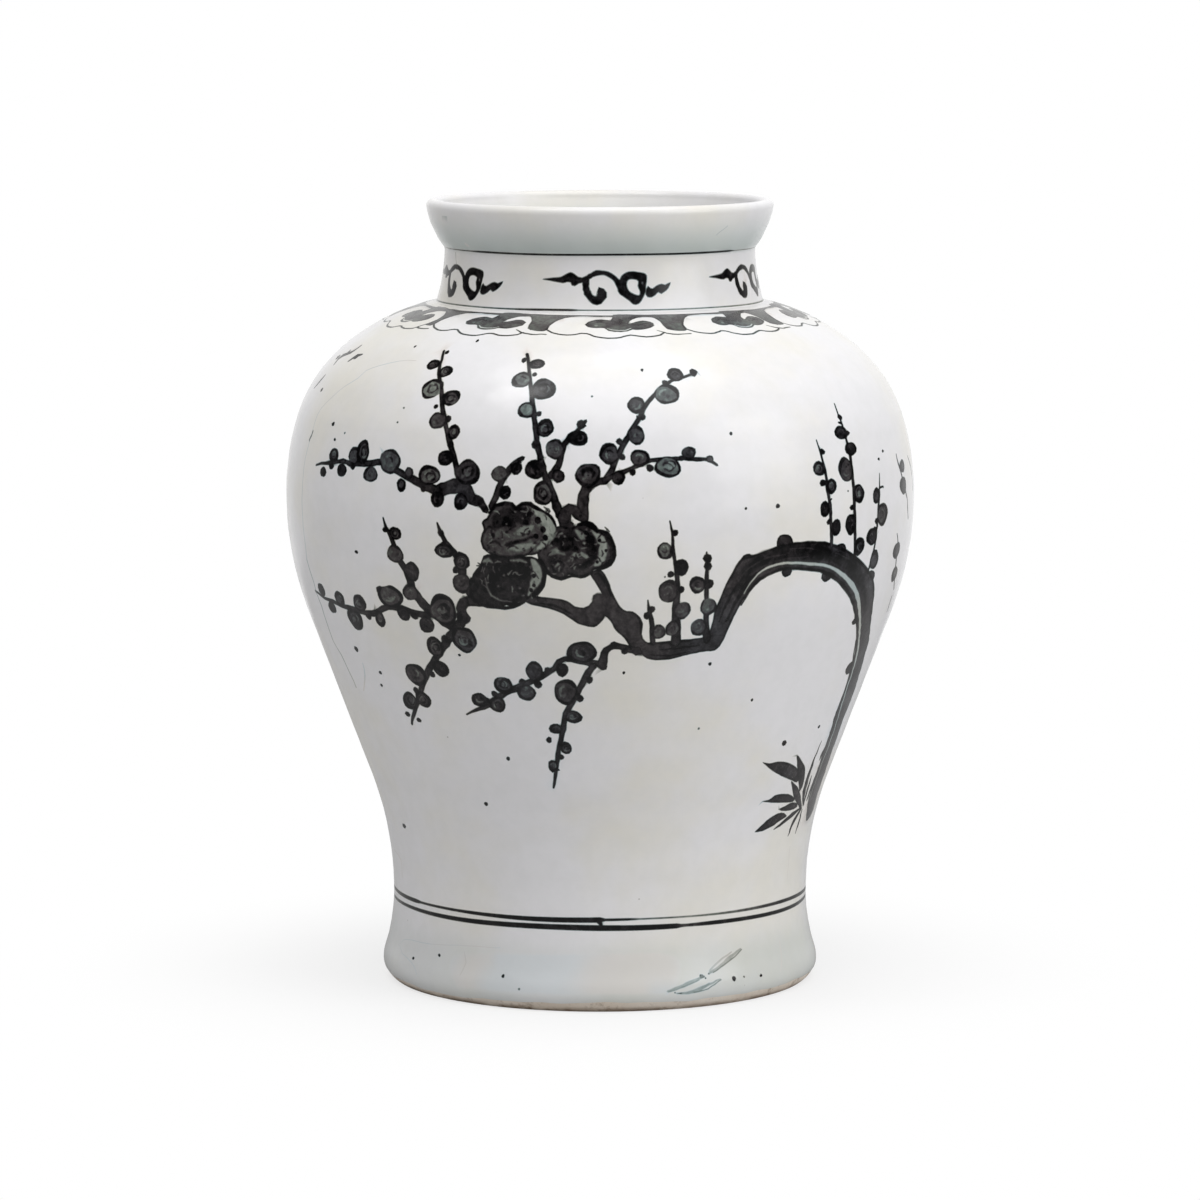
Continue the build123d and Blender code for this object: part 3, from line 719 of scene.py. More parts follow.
# Open flowers: outline, fill, broad strokes or round patches with their tones, and stamen dots
OPEN_FLOWERS = (
    (((472, 577), (475, 571), (480, 566), (484, 556), (492, 554), (502, 556), (512, 555.4), (522, 556),
      (532, 556.6), (540, 560), (544.5, 567), (545, 577), (542.5, 586), (539, 592.5), (531, 596),
      (526.5, 601), (520, 604.6), (513, 607), (507, 605.4), (500, 607.6), (492, 606.8), (486, 604.4),
      (478, 605), (471, 598), (470, 586)), 0.96,
     (([(532, 560), (536.5, 568), (536.5, 579), (532.5, 588), (528, 595)], [5, 9, 9, 6, 2], 0.36),
      ([(486, 578), (487, 587), (492, 595), (500, 599.5), (512, 601)], [1, 2, 2, 1.6, 0.8], 0.5),
      ([(484, 562), (488, 560), (492, 563)], [3, 4, 2], 0.5),
      ([(514, 560), (521, 559.5), (526, 562)], [2, 4, 2], 0.5),
      ([(492, 578), (505, 572), (520, 576)], [10, 14, 9], 1.0),
      ([(494, 588), (508, 586), (520, 589)], [8, 10, 6], 1.0)),
     ((534, 575.8, 2), (534, 585.3, 1.8), (527.7, 568.8, 2.6), (531.2, 590, 2), (520, 564, 2))),
    (((548, 533), (553, 528.5), (560, 526), (568, 527.4), (575, 526.5), (580, 523.6), (588, 523),
      (594.5, 526), (597, 531.5), (602, 531), (608, 534.5), (611.6, 541), (613, 550), (612.4, 559),
      (608, 565.6), (600, 568.4), (594, 570), (591, 574), (584, 577), (576, 576.6), (569, 574.4),
      (565, 577.5), (558, 579.4), (551, 577), (546, 570.6), (541, 563), (537.5, 556), (537.5, 547),
      (541, 539)), 0.84,
     (([(593, 531), (600, 539), (603, 549), (601.5, 559), (595, 566)], [4, 7, 8, 7, 3], 0.36),
      ([(554, 543), (564, 536), (577, 536), (588, 543), (592, 553), (588, 563)], [8, 12, 14, 13, 10, 6],
       0.97), ([(576, 531), (581, 536), (584.5, 543)], [3, 6, 3], 0.5),
      ([(571, 558), (578, 554), (587, 557)], [3, 6, 4], 0.46),
      ([(549, 555), (556, 551), (564, 554)], [3, 6, 3], 0.52),
      ([(551, 539), (556, 534), (563, 533)], [2, 4, 2], 0.56),
      ([(562, 548), (570, 544), (577, 550)], [7, 11, 5], 1.0),
      ([(570, 567), (582, 566), (592, 563)], [3, 6, 4], 0.97),
      ([(580, 541), (590, 541), (596, 551)], [1.6, 2.6, 1.4], 0.97),
      ([(552, 566), (558, 560.5), (564, 565), (562, 571), (555, 571.5), (552, 566)], [1.6, 1.8, 1.6], 1.0),
      ([(555, 567), (558.5, 564), (561, 567.5)], [1.2, 1.8, 1.2], 0.45)),
     ((599.5, 540.4, 1.8), (606, 550.5, 1.5), (597.2, 562, 1.5), (586, 533, 2))),
    (((483.5, 530), (481, 538), (483, 548), (490, 554), (500, 557), (512, 557), (524, 556), (536, 554),
      (546, 547), (553, 538), (556.5, 528), (553.6, 519), (548, 512.6), (541, 512), (537.4, 507.6),
      (530, 503.6), (522, 504), (515.6, 509.4), (511.4, 504), (504, 502.6), (497, 505), (491, 511),
      (487.4, 518.4), (482.5, 521)), 0.72,
     (([(498, 519), (508, 514.5), (520, 516), (527, 522)], [12, 17, 15, 8], 0.93),
      ([(534, 511), (545, 519), (550, 529), (547, 541), (538, 549)], [3, 9, 11, 8, 3], 0.36),
      ([(514, 534), (524, 530), (533, 527)], [3, 7, 4], 0.46),
      ([(510, 548), (522, 547), (534, 545)], [3, 7, 3], 0.46),
      ([(497, 526), (505, 521), (514, 526)], [6, 11, 5], 0.95),
      ([(506, 544.5), (520, 541), (535, 536.5)], [4, 3.2, 1.6], 0.99),
      ([(494, 519), (500, 511.5), (509, 509), (514, 513)], [1.4, 2, 1.8, 1], 0.97),
      ([(518, 511), (526, 508), (534, 512)], [1, 2, 1], 0.97),
      ([(485, 533), (489, 527), (495, 530)], [1, 2, 1], 0.95),
      ([(488, 545), (496, 541), (502, 547)], [1, 2.4, 1], 0.9)),
     ((529.8, 514, 3), (537.8, 520.2, 3.3), (543.1, 529.5, 3), (545.2, 537.6, 2.8), (525.6, 522.2, 2.6),
      (536.1, 536.2, 2.6), (505.7, 518.9, 2.4), (493.3, 535.1, 2))),
)
# Thick dark parts of the open flowers' outlines
OPEN_RIMS = (
    ([(489, 513), (496, 505.8), (505, 503.4), (512, 504.6), (516.5, 507.5)], [1.6, 2.8, 3, 2]),
    ([(516.5, 507.5), (522, 504.2), (530, 504.2), (537, 507.8), (542, 510.6)], [2, 2.8, 3, 1.4]),
    ([(543, 511), (551, 516.5), (556, 526)], [1.2, 2.2, 1.2]),
    ([(578, 524.4), (588, 524.2), (594, 527.6), (597, 532)], [2, 3.8, 4.2, 2.4]),
    ([(599, 530.6), (606.5, 534.6), (611.2, 542), (613, 551), (612, 560), (606, 566), (598, 569.6)],
     [2, 4.4, 4.4, 4.6, 4.4, 3.4, 2]),
    ([(592, 572.6), (581, 577), (572, 576), (561, 578.6), (552, 576), (545, 569), (539, 559)],
     [1.6, 2.4, 1.8, 2.6, 2.6, 2.2, 1.4]),
    ([(541, 560), (545, 568), (544.6, 578), (541, 589), (533, 596)], [1.6, 2.6, 2.8, 3.2, 2.4]),
    ([(472, 579), (470.5, 588), (474, 600), (484, 605), (500, 607.4), (514, 606.6), (524, 601.6)],
     [2, 2.4, 2.6, 2.6, 2.4, 2]),
)
# Small random touches inside each open flower, in front and on the far side
FRONT_TOUCHES, FAR_TOUCHES = 80, 12

# Bamboo leaves: pointed outlines, then narrow ones by their middle line
LEAVES = (
    ((762.4, 762), (768.9, 763.6), (778, 761.6), (786, 762.2), (793, 765), (797.8, 769.4), (798.8, 777),
     (797, 782.4), (791.8, 780.2), (783.8, 776.8), (775.8, 773), (768.9, 768)),
    ((797, 754.6), (801, 760), (804.4, 765.8), (804.8, 775), (802, 787.6), (799.6, 792), (798.4, 782),
     (797.6, 770), (797, 762)),
    ((762, 801), (768.9, 800), (774.6, 795.6), (783.8, 793.8), (791.4, 795.4), (795, 799), (793, 801.6),
     (782.7, 802.6), (771, 802.6)),
    ((778, 809.4), (785, 806), (791.8, 802.6), (797.6, 803.4), (797, 807), (789.5, 810.6), (781.5, 810.8)),
    ((754.3, 832), (760.8, 825.8), (768.9, 818.6), (778, 813.4), (783.8, 813.2), (787, 815.6), (779.2, 821),
     (771.2, 826.6), (762, 830.8)),
)
NARROW_LEAVES = (
    ([(821.5, 741), (815, 757), (808.5, 775), (804.5, 790), (803, 803)], [0.8, 3, 6, 6, 3]),
    ([(811.4, 775.5), (808, 788), (803.3, 805)], [1, 3.6, 3]),
    ([(817, 770.4), (813, 783), (807, 800)], [1, 4, 3]),
    ([(791.3, 781.6), (795, 790), (798.4, 799), (801, 807)], [1, 8, 7.5, 4]),
    ([(773.5, 829.5), (782.7, 822.6), (791.8, 815), (801, 807.6)], [0.8, 4, 5.4, 1.6]),
    ([(787.8, 836.2), (791.8, 825.5), (796.6, 816.3), (801.6, 808)], [0.8, 4.4, 5, 1.6]),
    ([(795.3, 833.4), (798.9, 822), (801.8, 809.5)], [0.8, 3.4, 1.6]),
)


def trunk(where):
    """The bent trunk and its boughs, with their lumps, grain, dark lines and the pale stripe."""
    for x, y, size in TRUNK_LUMPS + BOUGH_LUMPS:
        blob((x, y), size, edged(0.85, 1.0, 0.9), where, size, 0.08)
    for points, widths in BOUGHS:
        stroke(points, widths, edged(0.85, 0.98, 0.9), where)
    shape(TRUNK, edged(0.83, 0.98, 0.9), where)
    stroke(*ARCH_MIDDLE, plain(1.0, 0.97, 1.2), where)
    for points, widths in ARCH_GRAIN:
        stroke(points, widths, plain(0.84, 0.75, 0.35), where, shake=0.5)
    for x, y, size in BOUGH_LUMPS:
        blob((x, y), 0.8 * size, ((1.4, 0.81, 0), (-0.6, 0.81, 1)), where)
    for points, widths in TRUNK_LINES:
        stroke(points, widths, plain(1.0, 0.95, 0.35), where)
    stroke(*TRUNK_STRIPE, plain(0.2, 0.95), where)


def open_flower(outline, fill, touches, dots, where, count):
    """A large flower: its broad touches, many small random ones, and its stamen dots."""
    shape(outline, edged(fill, 1.0, 1.2), where, shake=0.5)
    (low_x, low_y), (high_x, high_y) = np.min(outline, 0) + 6, np.max(outline, 0) - 5
    for points, widths, tone in touches:
        stroke(points, widths, plain(tone, 0.95, 0.5), where, shake=0.7)
    for k in range(count):
        spot = np.array((brush.uniform(low_x, high_x), brush.uniform(low_y, high_y)))
        tone = brush.uniform(0.42, 0.64) if k % 5 < 2 else brush.uniform(0.9, 1.0)
        if k % 2:
            turn, reach = brush.uniform(0, 2 * PI), brush.uniform(1.6, 3.8)
            way = reach * np.array((math.cos(turn), math.sin(turn)))
            bend = brush.uniform(-0.4, 0.4) * np.array((-way[1], way[0]))
            widths = [0.8, brush.uniform(1.2, 2.2), 0.8]
            stroke([spot - way, spot + bend, spot + way], widths, plain(tone, 0.8, 0.3), where, 3.0)
        else:
            blob(spot, brush.uniform(1.0, 2.0), plain(tone, 0.8, 0.3), where, brush.uniform(0.9, 1.7), 0.35)
    for x, y, size in dots:
        blob((x, y), size, plain(1.0, 1, 0.25), where, size * 1.1, 0.1)


def bamboo(where):
    """The bamboo leaves at the tree's foot."""
    for points in LEAVES:
        shape(points, edged(0.86, 0.97, 1.2), where)
    for points, widths in NARROW_LEAVES:
        stroke(points, widths, edged(0.84, 0.95, 0.9), where)


def tree(where, front):
    """The plum tree with the bamboo at its foot."""
    trunk(where)
    for points, widths in TWIGS:
        twig(points, widths, where)
    for x, y, size in BUDS:
        blob((x, y), 1.15 * size, plain(0.95), where, 1.15 * size, 0.14)
    for x, y, wide, tall, kind in FLOWERS:
        blossom(x, y, wide, tall, kind, where)
    if front:
        for points, widths in EDGE_STROKES:
            stroke(points, [1.8 * width for width in widths], plain(0.9, soft=0.22), where, shake=0.1)
        for x, y, wide, tall in EDGE_FLOWERS:
            blossom(x, y, wide, tall, "s", where)
    for flower in OPEN_FLOWERS:
        open_flower(*flower, where, FRONT_TOUCHES if front else FAR_TOUCHES)
    for points, widths in OPEN_RIMS:
        stroke(points, [1.35 * width for width in widths], plain(1.0), where, shake=0.5)
    bamboo(where)


def behind(line):
    """The tree of the far side: turned over, a little wider and lower."""
    out = line.copy()
    out[..., 0] = PI - line[..., 0] * 0.97
    out[..., 1] = line[..., 1] - 0.03 + 0.03 * np.sin(line[..., 0] * 1.3)
    return out


def turned(angle, about=0.0, stretch=1.0):
    """Moves a mark round the jar by this many degrees, and stretches it about its place."""
    about_turn, shift = math.radians(about), math.radians(angle)

    def where(line):
        """The moved line."""
        return (line - (about_turn, 0)) * (stretch, 1) + (about_turn + shift, 0)

    return where


# A cloud scroll: its tail, neck and curl on the left, its ring with a white eye, and its end
CLOUD_TAIL = (
    (542.4, 279.1), (551.9, 277.9), (560.9, 276.9), (566.8, 273.7), (570.6, 272.4), (574.3, 273.9),
    (578.3, 276.9), (583, 278), (583, 282), (578.8, 283.4), (574.8, 285.9), (571.8, 285.4), (570.8, 282.4),
    (566.8, 281.9), (562.8, 282.9), (556.9, 281.9), (550.9, 280.7),
)
CLOUD_NECK = (
    ((582, 280), (587.7, 277.6), (591.7, 275.2), (596.7, 273.1), (601.7, 272.7), (607.6, 273.9),
     (612.6, 276.9), (616.6, 280.9), (619.4, 286)),
    (4, 4.6, 4.8, 4.6, 4.6, 5, 5.4),
)
CLOUD_CURL = (
    ((586.5, 279), (585.8, 284), (586.2, 289), (588.5, 294.8), (592, 298.8), (596.5, 300.6), (600.5, 298.2),
     (602, 293.5), (600.4, 290.4)),
    (5, 6.3, 6.6, 6.8, 7.2, 7.6, 8.6, 9, 8),
)
CLOUD_RING = (
    (621.6, 275.9), (626.5, 272.4), (631.5, 271.5), (639.5, 272.4), (645.4, 273.9), (646.9, 277.9),
    (645.9, 285.9), (645.4, 291.9), (642.4, 298.8), (638.5, 303.8), (633.5, 304.3), (629.5, 300.8),
    (624.5, 297.3), (619.6, 293.8), (617.6, 288.9), (617.6, 283.9), (619.6, 279.9),
)
CLOUD_EYE = (
    (627, 281.9), (629.5, 279.4), (634.5, 279.2), (638.3, 281), (638, 285.9), (640, 291.9), (639, 295.3),
    (634.5, 294.3), (629.5, 291.4), (627, 286.9),
)
CLOUD_END = (
    (645.8, 294.8), (646.4, 288.9), (647.9, 285.9), (650.4, 288.4), (652.6, 288.6), (656.4, 285.9),
    (661.4, 283.9), (665.3, 284.9), (670.5, 282.2), (668.3, 287.9), (664.3, 291.9), (661.4, 293.8),
    (658.4, 291.9), (655.4, 294.8), (651.4, 297.3), (647.4, 296.8),
)


def cloud(where):
    """One cloud scroll of the neck."""
    dark = plain(0.97, 1, 0.38)
    shape(CLOUD_TAIL, dark, where, 2.6, 0.1)
    stroke(*CLOUD_NECK, dark, where, 2.6, 0.12)
    stroke(*CLOUD_CURL, dark, where, 2.4, 0.1)
    shape(CLOUD_RING, dark, where, 2.2, 0.1)
    shape(CLOUD_EYE, plain(0.0, 1, 0.4), where, 2.0, 0.1)
    # A paler spot in the cloud's dark ring: a painted highlight of the glaze
    blob((642.4, 282.9), 1.0, plain(0.4, 0.8), where, 1.8)
    shape(CLOUD_END, dark, where, 2.6, 0.1)


# A lappet of the collar: its outline, its dark eye, and the dark gap on its left with a white petal
LAPPET = (
    (546.7, 329.7), (548.9, 325.7), (554.9, 321.7), (561.9, 318.7), (571.8, 316.7), (584, 316.3),
    (597, 316.5), (609, 316.8), (624, 317), (636.5, 317.4), (646.4, 316.8), (654.4, 317.7), (663.3, 320.7),
    (668.5, 324.7), (668.3, 329.2), (665.3, 331.9), (660.4, 335.1), (651.4, 336.6), (641.5, 336.6),
    (633.5, 335.4), (627.5, 335.6), (616.6, 338), (603.6, 338), (593.7, 336.1), (586.7, 333.6),
    (581.8, 333.4), (571.8, 335.1), (561.9, 334.8), (551.9, 332.6),
)
LAPPET_EYE = (
    (613, 314.6), (612, 318.4), (610.5, 320.4), (601.7, 319.4), (595.7, 319.8), (588, 322), (584.9, 324.7),
    (588, 327), (594, 328), (604, 327.8), (608.6, 330.8), (617.6, 332), (627, 331.4), (632.5, 329.6),
    (638, 330), (646.4, 329), (654.2, 325.8), (653.2, 322.9), (646.4, 320.9), (639.5, 320.9), (632, 323),
    (628, 323.6), (629.6, 320.9), (636, 318.2), (641, 316.6), (640, 314.6),
)
LAPPET_GAP = (
    (514, 313.6), (560, 315.4), (558, 319), (549, 325), (546.3, 330.4), (541, 331.4), (533.3, 330.6),
    (527.6, 328.4), (528.8, 325), (531.6, 321), (529, 315),
)
PETAL = (
    (517, 329), (523.3, 327.6), (528, 329), (533.3, 331), (545.5, 331.8), (545.6, 333.8), (533, 334),
    (522.6, 332.2),
)
PETAL_LINE = (((516.5, 329.8), (521.8, 332.8), (532, 334.5), (546, 334.4)), (0.8, 1.8, 1.6, 1.2))
EYE_LINE = (((607, 328.4), (612, 330), (619, 330.6), (626, 330), (631, 328.4)), (0.8, 1.5, 1.5, 0.8))
EYE_TOUCHES = (
    (((592, 323.6), (601, 321.8), (608, 323.4)), 2.4), (((638, 325), (645, 323.4), (651, 324.6)), 2.2),
)


def lappet(where):
    """One cloud-head lappet of the collar, white on the dark ground, with the gap on its left."""
    shape(LAPPET_GAP, edged(0.66, 0.76, 0.7), where, shake=0.1)
    shape(PETAL, plain(0.0, 1, 0.25), where, shake=0.1)
    stroke(*PETAL_LINE, plain(0.86), where)
    shape(LAPPET, ((0.75, 0.84, 0), (0.25, 0.84, 1), (-0.25, 0.84, 1), (-0.6, 0.0, 1)), where, 4.0, 0.15)
    shape(LAPPET_EYE, edged(0.68, 0.82, 0.8), where, shake=0.15)
    stroke(*EYE_LINE, plain(0.04), where, 5)
    for points, width in EYE_TOUCHES:
        stroke(points, [0.8, width, 0.8], plain(0.92, 0.7), where, 5)
    blob((596, 325.6), 2.0, plain(0.36, 0.6), where, 0.7)


# Degrees round the jar: where the drawn lappet and cloud are, and where each copy goes. The clouds
# have a stretch too
LAPPET_CENTRE = 2.5
LAPPET_ANGLES = [-34.5, 2.5, 40.5] + [40.5 + 35.63 * k for k in range(1, 8)]
CLOUD_CENTRE = 2.0
CLOUD_ANGLES = [(2, 1.0), (-63.5, 1.1), (66, 1.0), (123, 1.0), (181, 1.0), (238, 1.0)]

# Steps of a ring line round the jar, and in mm its least half width and the reach of its paint
BAND_COLUMNS = 240
LEAST_BAND = 0.05
BAND_REACH = 8


class Band:
    """A line round the whole jar. Its knots are degrees, width in mm and tone."""

    def __init__(self, height, knots, wave, soft, phase):
        self.rise = float(rise_of_height(height))
        self.way = float(way_at(self.rise))
        angles, self.widths, self.tones = np.array(knots).T
        self.turns = np.radians(angles)
        self.wave, self.soft, self.phase = wave, soft, phase

    def middle(self, turn):
        """The wavering middle of the line, as a length along the outline."""
        slow, quick = np.sin(3 * turn + self.phase), np.sin(7 * turn + 2 * self.phase)
        return self.way + self.wave * slow + self.wave * 0.5 * quick

    def width(self, turn):
        """Width of the line at each turn."""
        return np.interp(turn, self.turns, self.widths)

    def loops(self):
        """Lines of the mesh on both sides of each edge, in (turn, rise)."""
        turn = np.linspace(-PI, PI, BAND_COLUMNS + 1)
        rows = []
        for side in (-1, 1):
            for gap in (self.soft, -self.soft):
                half = np.maximum(self.width(turn) / 2 + gap, LEAST_BAND)
                rows.append(np.column_stack((turn, rise_at(self.middle(turn) + side * half))))
        return rows

    def paint(self, spots, radii, ink):
        """Lays the line over the ink that is there."""
        way = way_at(spots[:, 1])
        near = np.nonzero(abs(way - self.way) < BAND_REACH)[0]
        turn = (spots[near, 0] + PI) % (2 * PI) - PI
        gap = abs(way[near] - self.middle(turn)) - self.width(turn) / 2
        cover = np.interp(gap, (-self.soft, self.soft), (1, 0))
        value = np.interp(turn, self.turns, self.tones)
        ink[near] += (value - ink[near]) * cover


class Ground:
    """The dark ground of the collar, all round."""

    def __init__(self, high, low, value, soft):
        self.high, self.low = float(rise_of_height(high)), float(rise_of_height(low))
        self.value, self.soft = value, soft

    def loops(self):
        """Lines of the mesh on both sides of each edge, in (turn, rise)."""
        turn = np.linspace(-PI, PI, COLUMNS + 1)
        return [
            np.column_stack((turn, np.full(COLUMNS + 1, rise + gap / radius_at(rise))))
            for rise in (self.high, self.low)
            for gap in (self.soft, -self.soft)
        ]

    def paint(self, spots, radii, ink):
        """Lays the ground over the bare glaze."""
        over = (spots[:, 1] - self.high) * radii
        under = (self.low - spots[:, 1]) * radii
        cover = np.interp(np.maximum(over, under), (-self.soft, self.soft), (1, 0))
        ink += (self.value - ink) * cover


# Each line has its height, its knots, how far it wavers, its softness and its phase
GROOVE_LINE = Band(
    375.9,
    [(-180, 1.1, 0.95), (-110, 0.9, 0.9), (-72, 0.7, 0.8), (-55, 0.8, 0.85), (-50, 1.2, 1.0), (0, 1.25, 1.0),
     (25, 1.3, 1.0), (55, 1.3, 1.0), (58, 0.6, 0.55), (80, 0.6, 0.5), (130, 1.3, 0.95), (180, 1.1, 0.95)],
    0.15, 0.25, 0.4,
)
NECK_LINE = Band(
    348.6,
    [(-180, 0.9, 0.6), (-95, 1.0, 0.5), (-50, 0.9, 0.55), (-34, 1.0, 0.62), (-22, 1.5, 0.86),
     (-10, 1.4, 0.84), (-7, 0.8, 0.5), (60, 0.8, 0.48), (120, 1.3, 0.7), (180, 0.9, 0.6)],
    0.12, 0.25, 1.0,
)
COLLAR_STRIP = Band(347.55, [(-180, 1.3, 0.0), (180, 1.3, 0.0)], 0.1, 0.25, 2.0)
COLLAR_LINE = Band(
    346.5,
    [(-180, 1.1, 0.86), (-60, 1.4, 0.88), (-25, 1.3, 0.88), (0, 1.0, 0.84), (50, 1.3, 0.86), (120, 0.9, 0.8),
     (180, 1.1, 0.86)],
    0.12, 0.25, 2.0,
)
BASE_HIGH = Band(
    46.4,
    [(-180, 1.3, 0.85), (-105, 1.2, 0.8), (-85, 1.6, 0.97), (-61, 2.0, 1.0), (-58.5, 1.1, 0.92),
     (-45, 1.3, 0.94), (-29, 1.9, 1.0), (-12, 2.5, 1.0), (0, 2.7, 1.0), (1.5, 1.3, 1.0), (8, 1.2, 0.95),
     (10.5, 0.8, 0.62), (27, 0.9, 0.52), (42, 1.3, 0.66), (60, 1.7, 0.92), (110, 2.0, 0.95),
     (180, 1.3, 0.85)],
    0.25, 0.28, 0.2,
)
BASE_LOW = Band(
    42.2,
    [(-180, 1.8, 0.9), (-100, 1.4, 0.85), (-70, 1.5, 0.95), (-40, 2.2, 0.98), (-15, 2.7, 1.0), (0, 2.9, 1.0),
     (21, 2.5, 1.0), (23, 1.4, 0.84), (32, 2.0, 0.97), (55, 1.9, 0.97), (90, 1.6, 0.85),
     (140, 2.2, 0.95), (180, 1.8, 0.9)],
    0.25, 0.28, 1.7,
)

ground = Ground(346.5, 341.6, 0.66, 0.25)
bands = [COLLAR_STRIP, NECK_LINE, COLLAR_LINE, GROOVE_LINE, BASE_HIGH, BASE_LOW]
for angle in LAPPET_ANGLES:
    lappet(turned(angle - LAPPET_CENTRE))
for angle, stretch in CLOUD_ANGLES:
    cloud(turned(angle - CLOUD_CENTRE, CLOUD_CENTRE, stretch))
tree(here, True)
tree(behind, False)

# Kiln marks on the glaze, hairlines, pin spots and the painted edge of a reflection, in pixels

KILN_PATCH = (
    (455, 955), (500, 953.6), (560, 954), (620, 953.4), (672, 955), (680, 975), (657, 998), (560, 1002),
    (476, 998), (452, 976),
)
KILN_SCAR = (
    ([(740, 949), (730, 957), (718, 968), (709, 974)], [2.2, 3.4, 3.0, 2.4], 0.34),
    ([(731, 952), (719, 961), (709, 971)], [1.6, 2.4, 1.8], 0.26),
    ([(700, 978), (686, 984), (667, 992)], [2.4, 3.2, 1.6], 0.36),
    ([(720, 979), (706, 987), (692, 992), (677, 998)], [1.6, 2.8, 3.0, 1.6], 0.36),
    ([(709, 984), (697, 989), (682, 994)], [1.4, 2.6, 1.6], 0.3),
    ([(741, 950), (727, 963), (713, 973)], [0.9, 1.2, 0.9], 0.6),
    ([(721, 980), (708, 989), (694, 993)], [0.8, 1.1, 0.8], 0.56),
    ([(699, 980), (684, 987), (668, 993)], [0.8, 1.1, 0.8], 0.5),
)
SCAR_SPOTS = ((700, 975.5, 0.9), (705.5, 978.5, 1.0), (708.5, 974.5, 0.9), (675, 993, 0.9), (681, 995, 0.8))
FOOT_HAIRLINES = (
    [(398, 945), (404, 939), (430, 944), (466, 945.5), (500, 948)],
    [(399, 945), (402, 953), (412, 963), (417, 974)], [(464, 951), (466, 962), (460, 975)],
    [(779, 940), (781.5, 960), (780.5, 972)], [(394, 850), (401, 860), (402, 878)],
    [(790, 846), (787, 880)],
)
# Hairlines of the neck and the mouth with their widths and tone
NECK_HAIRLINES = (
    ([(455.6, 252), (456, 260), (457.9, 269.5)], [0.9, 0.8, 0.5], 0.45),
    ([(439.5, 206), (441.6, 215.6), (452, 215.4), (466, 215.8)], [0.7, 0.9, 0.6], 0.3),
    ([(445.3, 216.7), (456, 232), (468, 246)], [0.7, 0.8, 0.6], 0.26),
    ([(727.7, 226), (716.2, 235)], [0.6, 0.9], 0.3),
)
# The long grey line of the left side, the painted edge of a lamp's reflection on the glaze, its stronger
# lower end, and a short line beside it
REFLECTION_EDGE = (
    ((416, 360.7), (399.5, 360.9), (379.6, 365.7), (366.3, 370.9), (358, 378.1), (344.8, 386.4),
     (333.2, 396.4), (321.6, 408), (314.9, 421.2), (311.6, 434.5), (306.9, 451), (303.9, 467.6),
     (302.2, 500), (303.4, 525.7), (306.8, 560)),
    (0.8, 1.0, 1.0, 1.2, 1.3),
)
REFLECTION_EDGE_END = (
    ((306.8, 560), (311.6, 575), (316.6, 593), (321.6, 606.4), (326.5, 621.4), (333.2, 641), (341.5, 655),
     (349.7, 673), (356.4, 687.7)),
    (1.4, 1.6, 1.7, 1.9, 1.6),
)
REFLECTION_EDGE_SIDE = (((364, 691), (365, 675), (363, 663)), (1.6, 2, 1.4))
# Pin spots: x, y and size
PIN_SPOTS = (
    (734, 979, 1.7), (744, 977, 0.8), (413, 958, 1), (439, 955, 1), (503, 976, 1.2), (519, 989, 0.8),
    (761, 976, 1), (404, 826, 1.5), (486, 804, 1.4), (731, 433.5, 1.2), (752, 700, 0.9), (710, 664, 1.2),
    (356.7, 551.9, 1.2), (356.4, 649, 1.6), (333.2, 424, 1.4), (334.8, 439.5, 1), (344.8, 433, 0.7),
    (321.6, 389.7, 1.5), (380.6, 672.5, 1.1), (381.6, 685.2, 0.9), (508.2, 758.6, 1.4), (477.4, 340.8, 1),
    (415.2, 346.6, 0.8), (404, 408, 0.7), (397.8, 422.4, 0.7), (459.5, 655, 0.9), (642, 370, 1),
    (592, 396.5, 0.8), (778, 506, 1.6), (746, 508.5, 0.9), (784.1, 743, 1.8), (819, 726.7, 0.9),
    (623.8, 672.7, 1), (665, 577, 0.7), (698.7, 728.5, 0.9), (883, 451, 1), (879, 459, 1),
    (883.6, 487, 0.7), (848.5, 491, 0.6),
)
FAR_SPOTS = 60


def kiln_marks():
    """The marks of the firing and of age that the photograph shows, with a painted highlight and the painted
    edge of a reflection among them.
    """
    shape(KILN_PATCH, plain(0.05, 1, 1.2), shake=0.5)
    for points, widths, tone in KILN_SCAR:
        stroke(points, widths, plain(tone, 0.8, 0.3), shake=0.5)
    blob((702, 976.5), 2.6, plain(0.55, 0.9), here, 2.4, 0.3)
    # A white spot on the scar's knob: a painted highlight
    blob((704.5, 974.5), 1.8, plain(0.0, 0.9, 0.25), here, 1.6, 0.2)
    for x, y, size in SCAR_SPOTS:
        blob((x, y), size, plain(0.85, 1, 0.2))
    stroke([(596, 920.5), (600.5, 923.5), (602, 927.5)], [3, 3.6, 2.4], plain(1.0))
    for points in FOOT_HAIRLINES:
        stroke(points, [0.9, 1.0, 0.7], plain(0.14, 0.8, 0.22), step=8)
    for points, widths, tone in NECK_HAIRLINES:
        stroke(points, widths, plain(tone, 0.8, 0.2))
    # Painted reflection: the edge of a lamp's reflection down the left side, drawn as a grey line, then a
    # short line beside its end
    stroke(*REFLECTION_EDGE, plain(0.17, 0.9, 0.22), step=9)
    stroke(*REFLECTION_EDGE_END, plain(0.34, 0.9, 0.22), step=9)
    stroke(*REFLECTION_EDGE_SIDE, plain(0.16, 0.7), step=6)
    for x, y, size in PIN_SPOTS:
        blob((x, y), 1.2 * size + 0.2, plain(0.88, 1, 0.2), here, 1.4 * size + 0.2, 0.2)


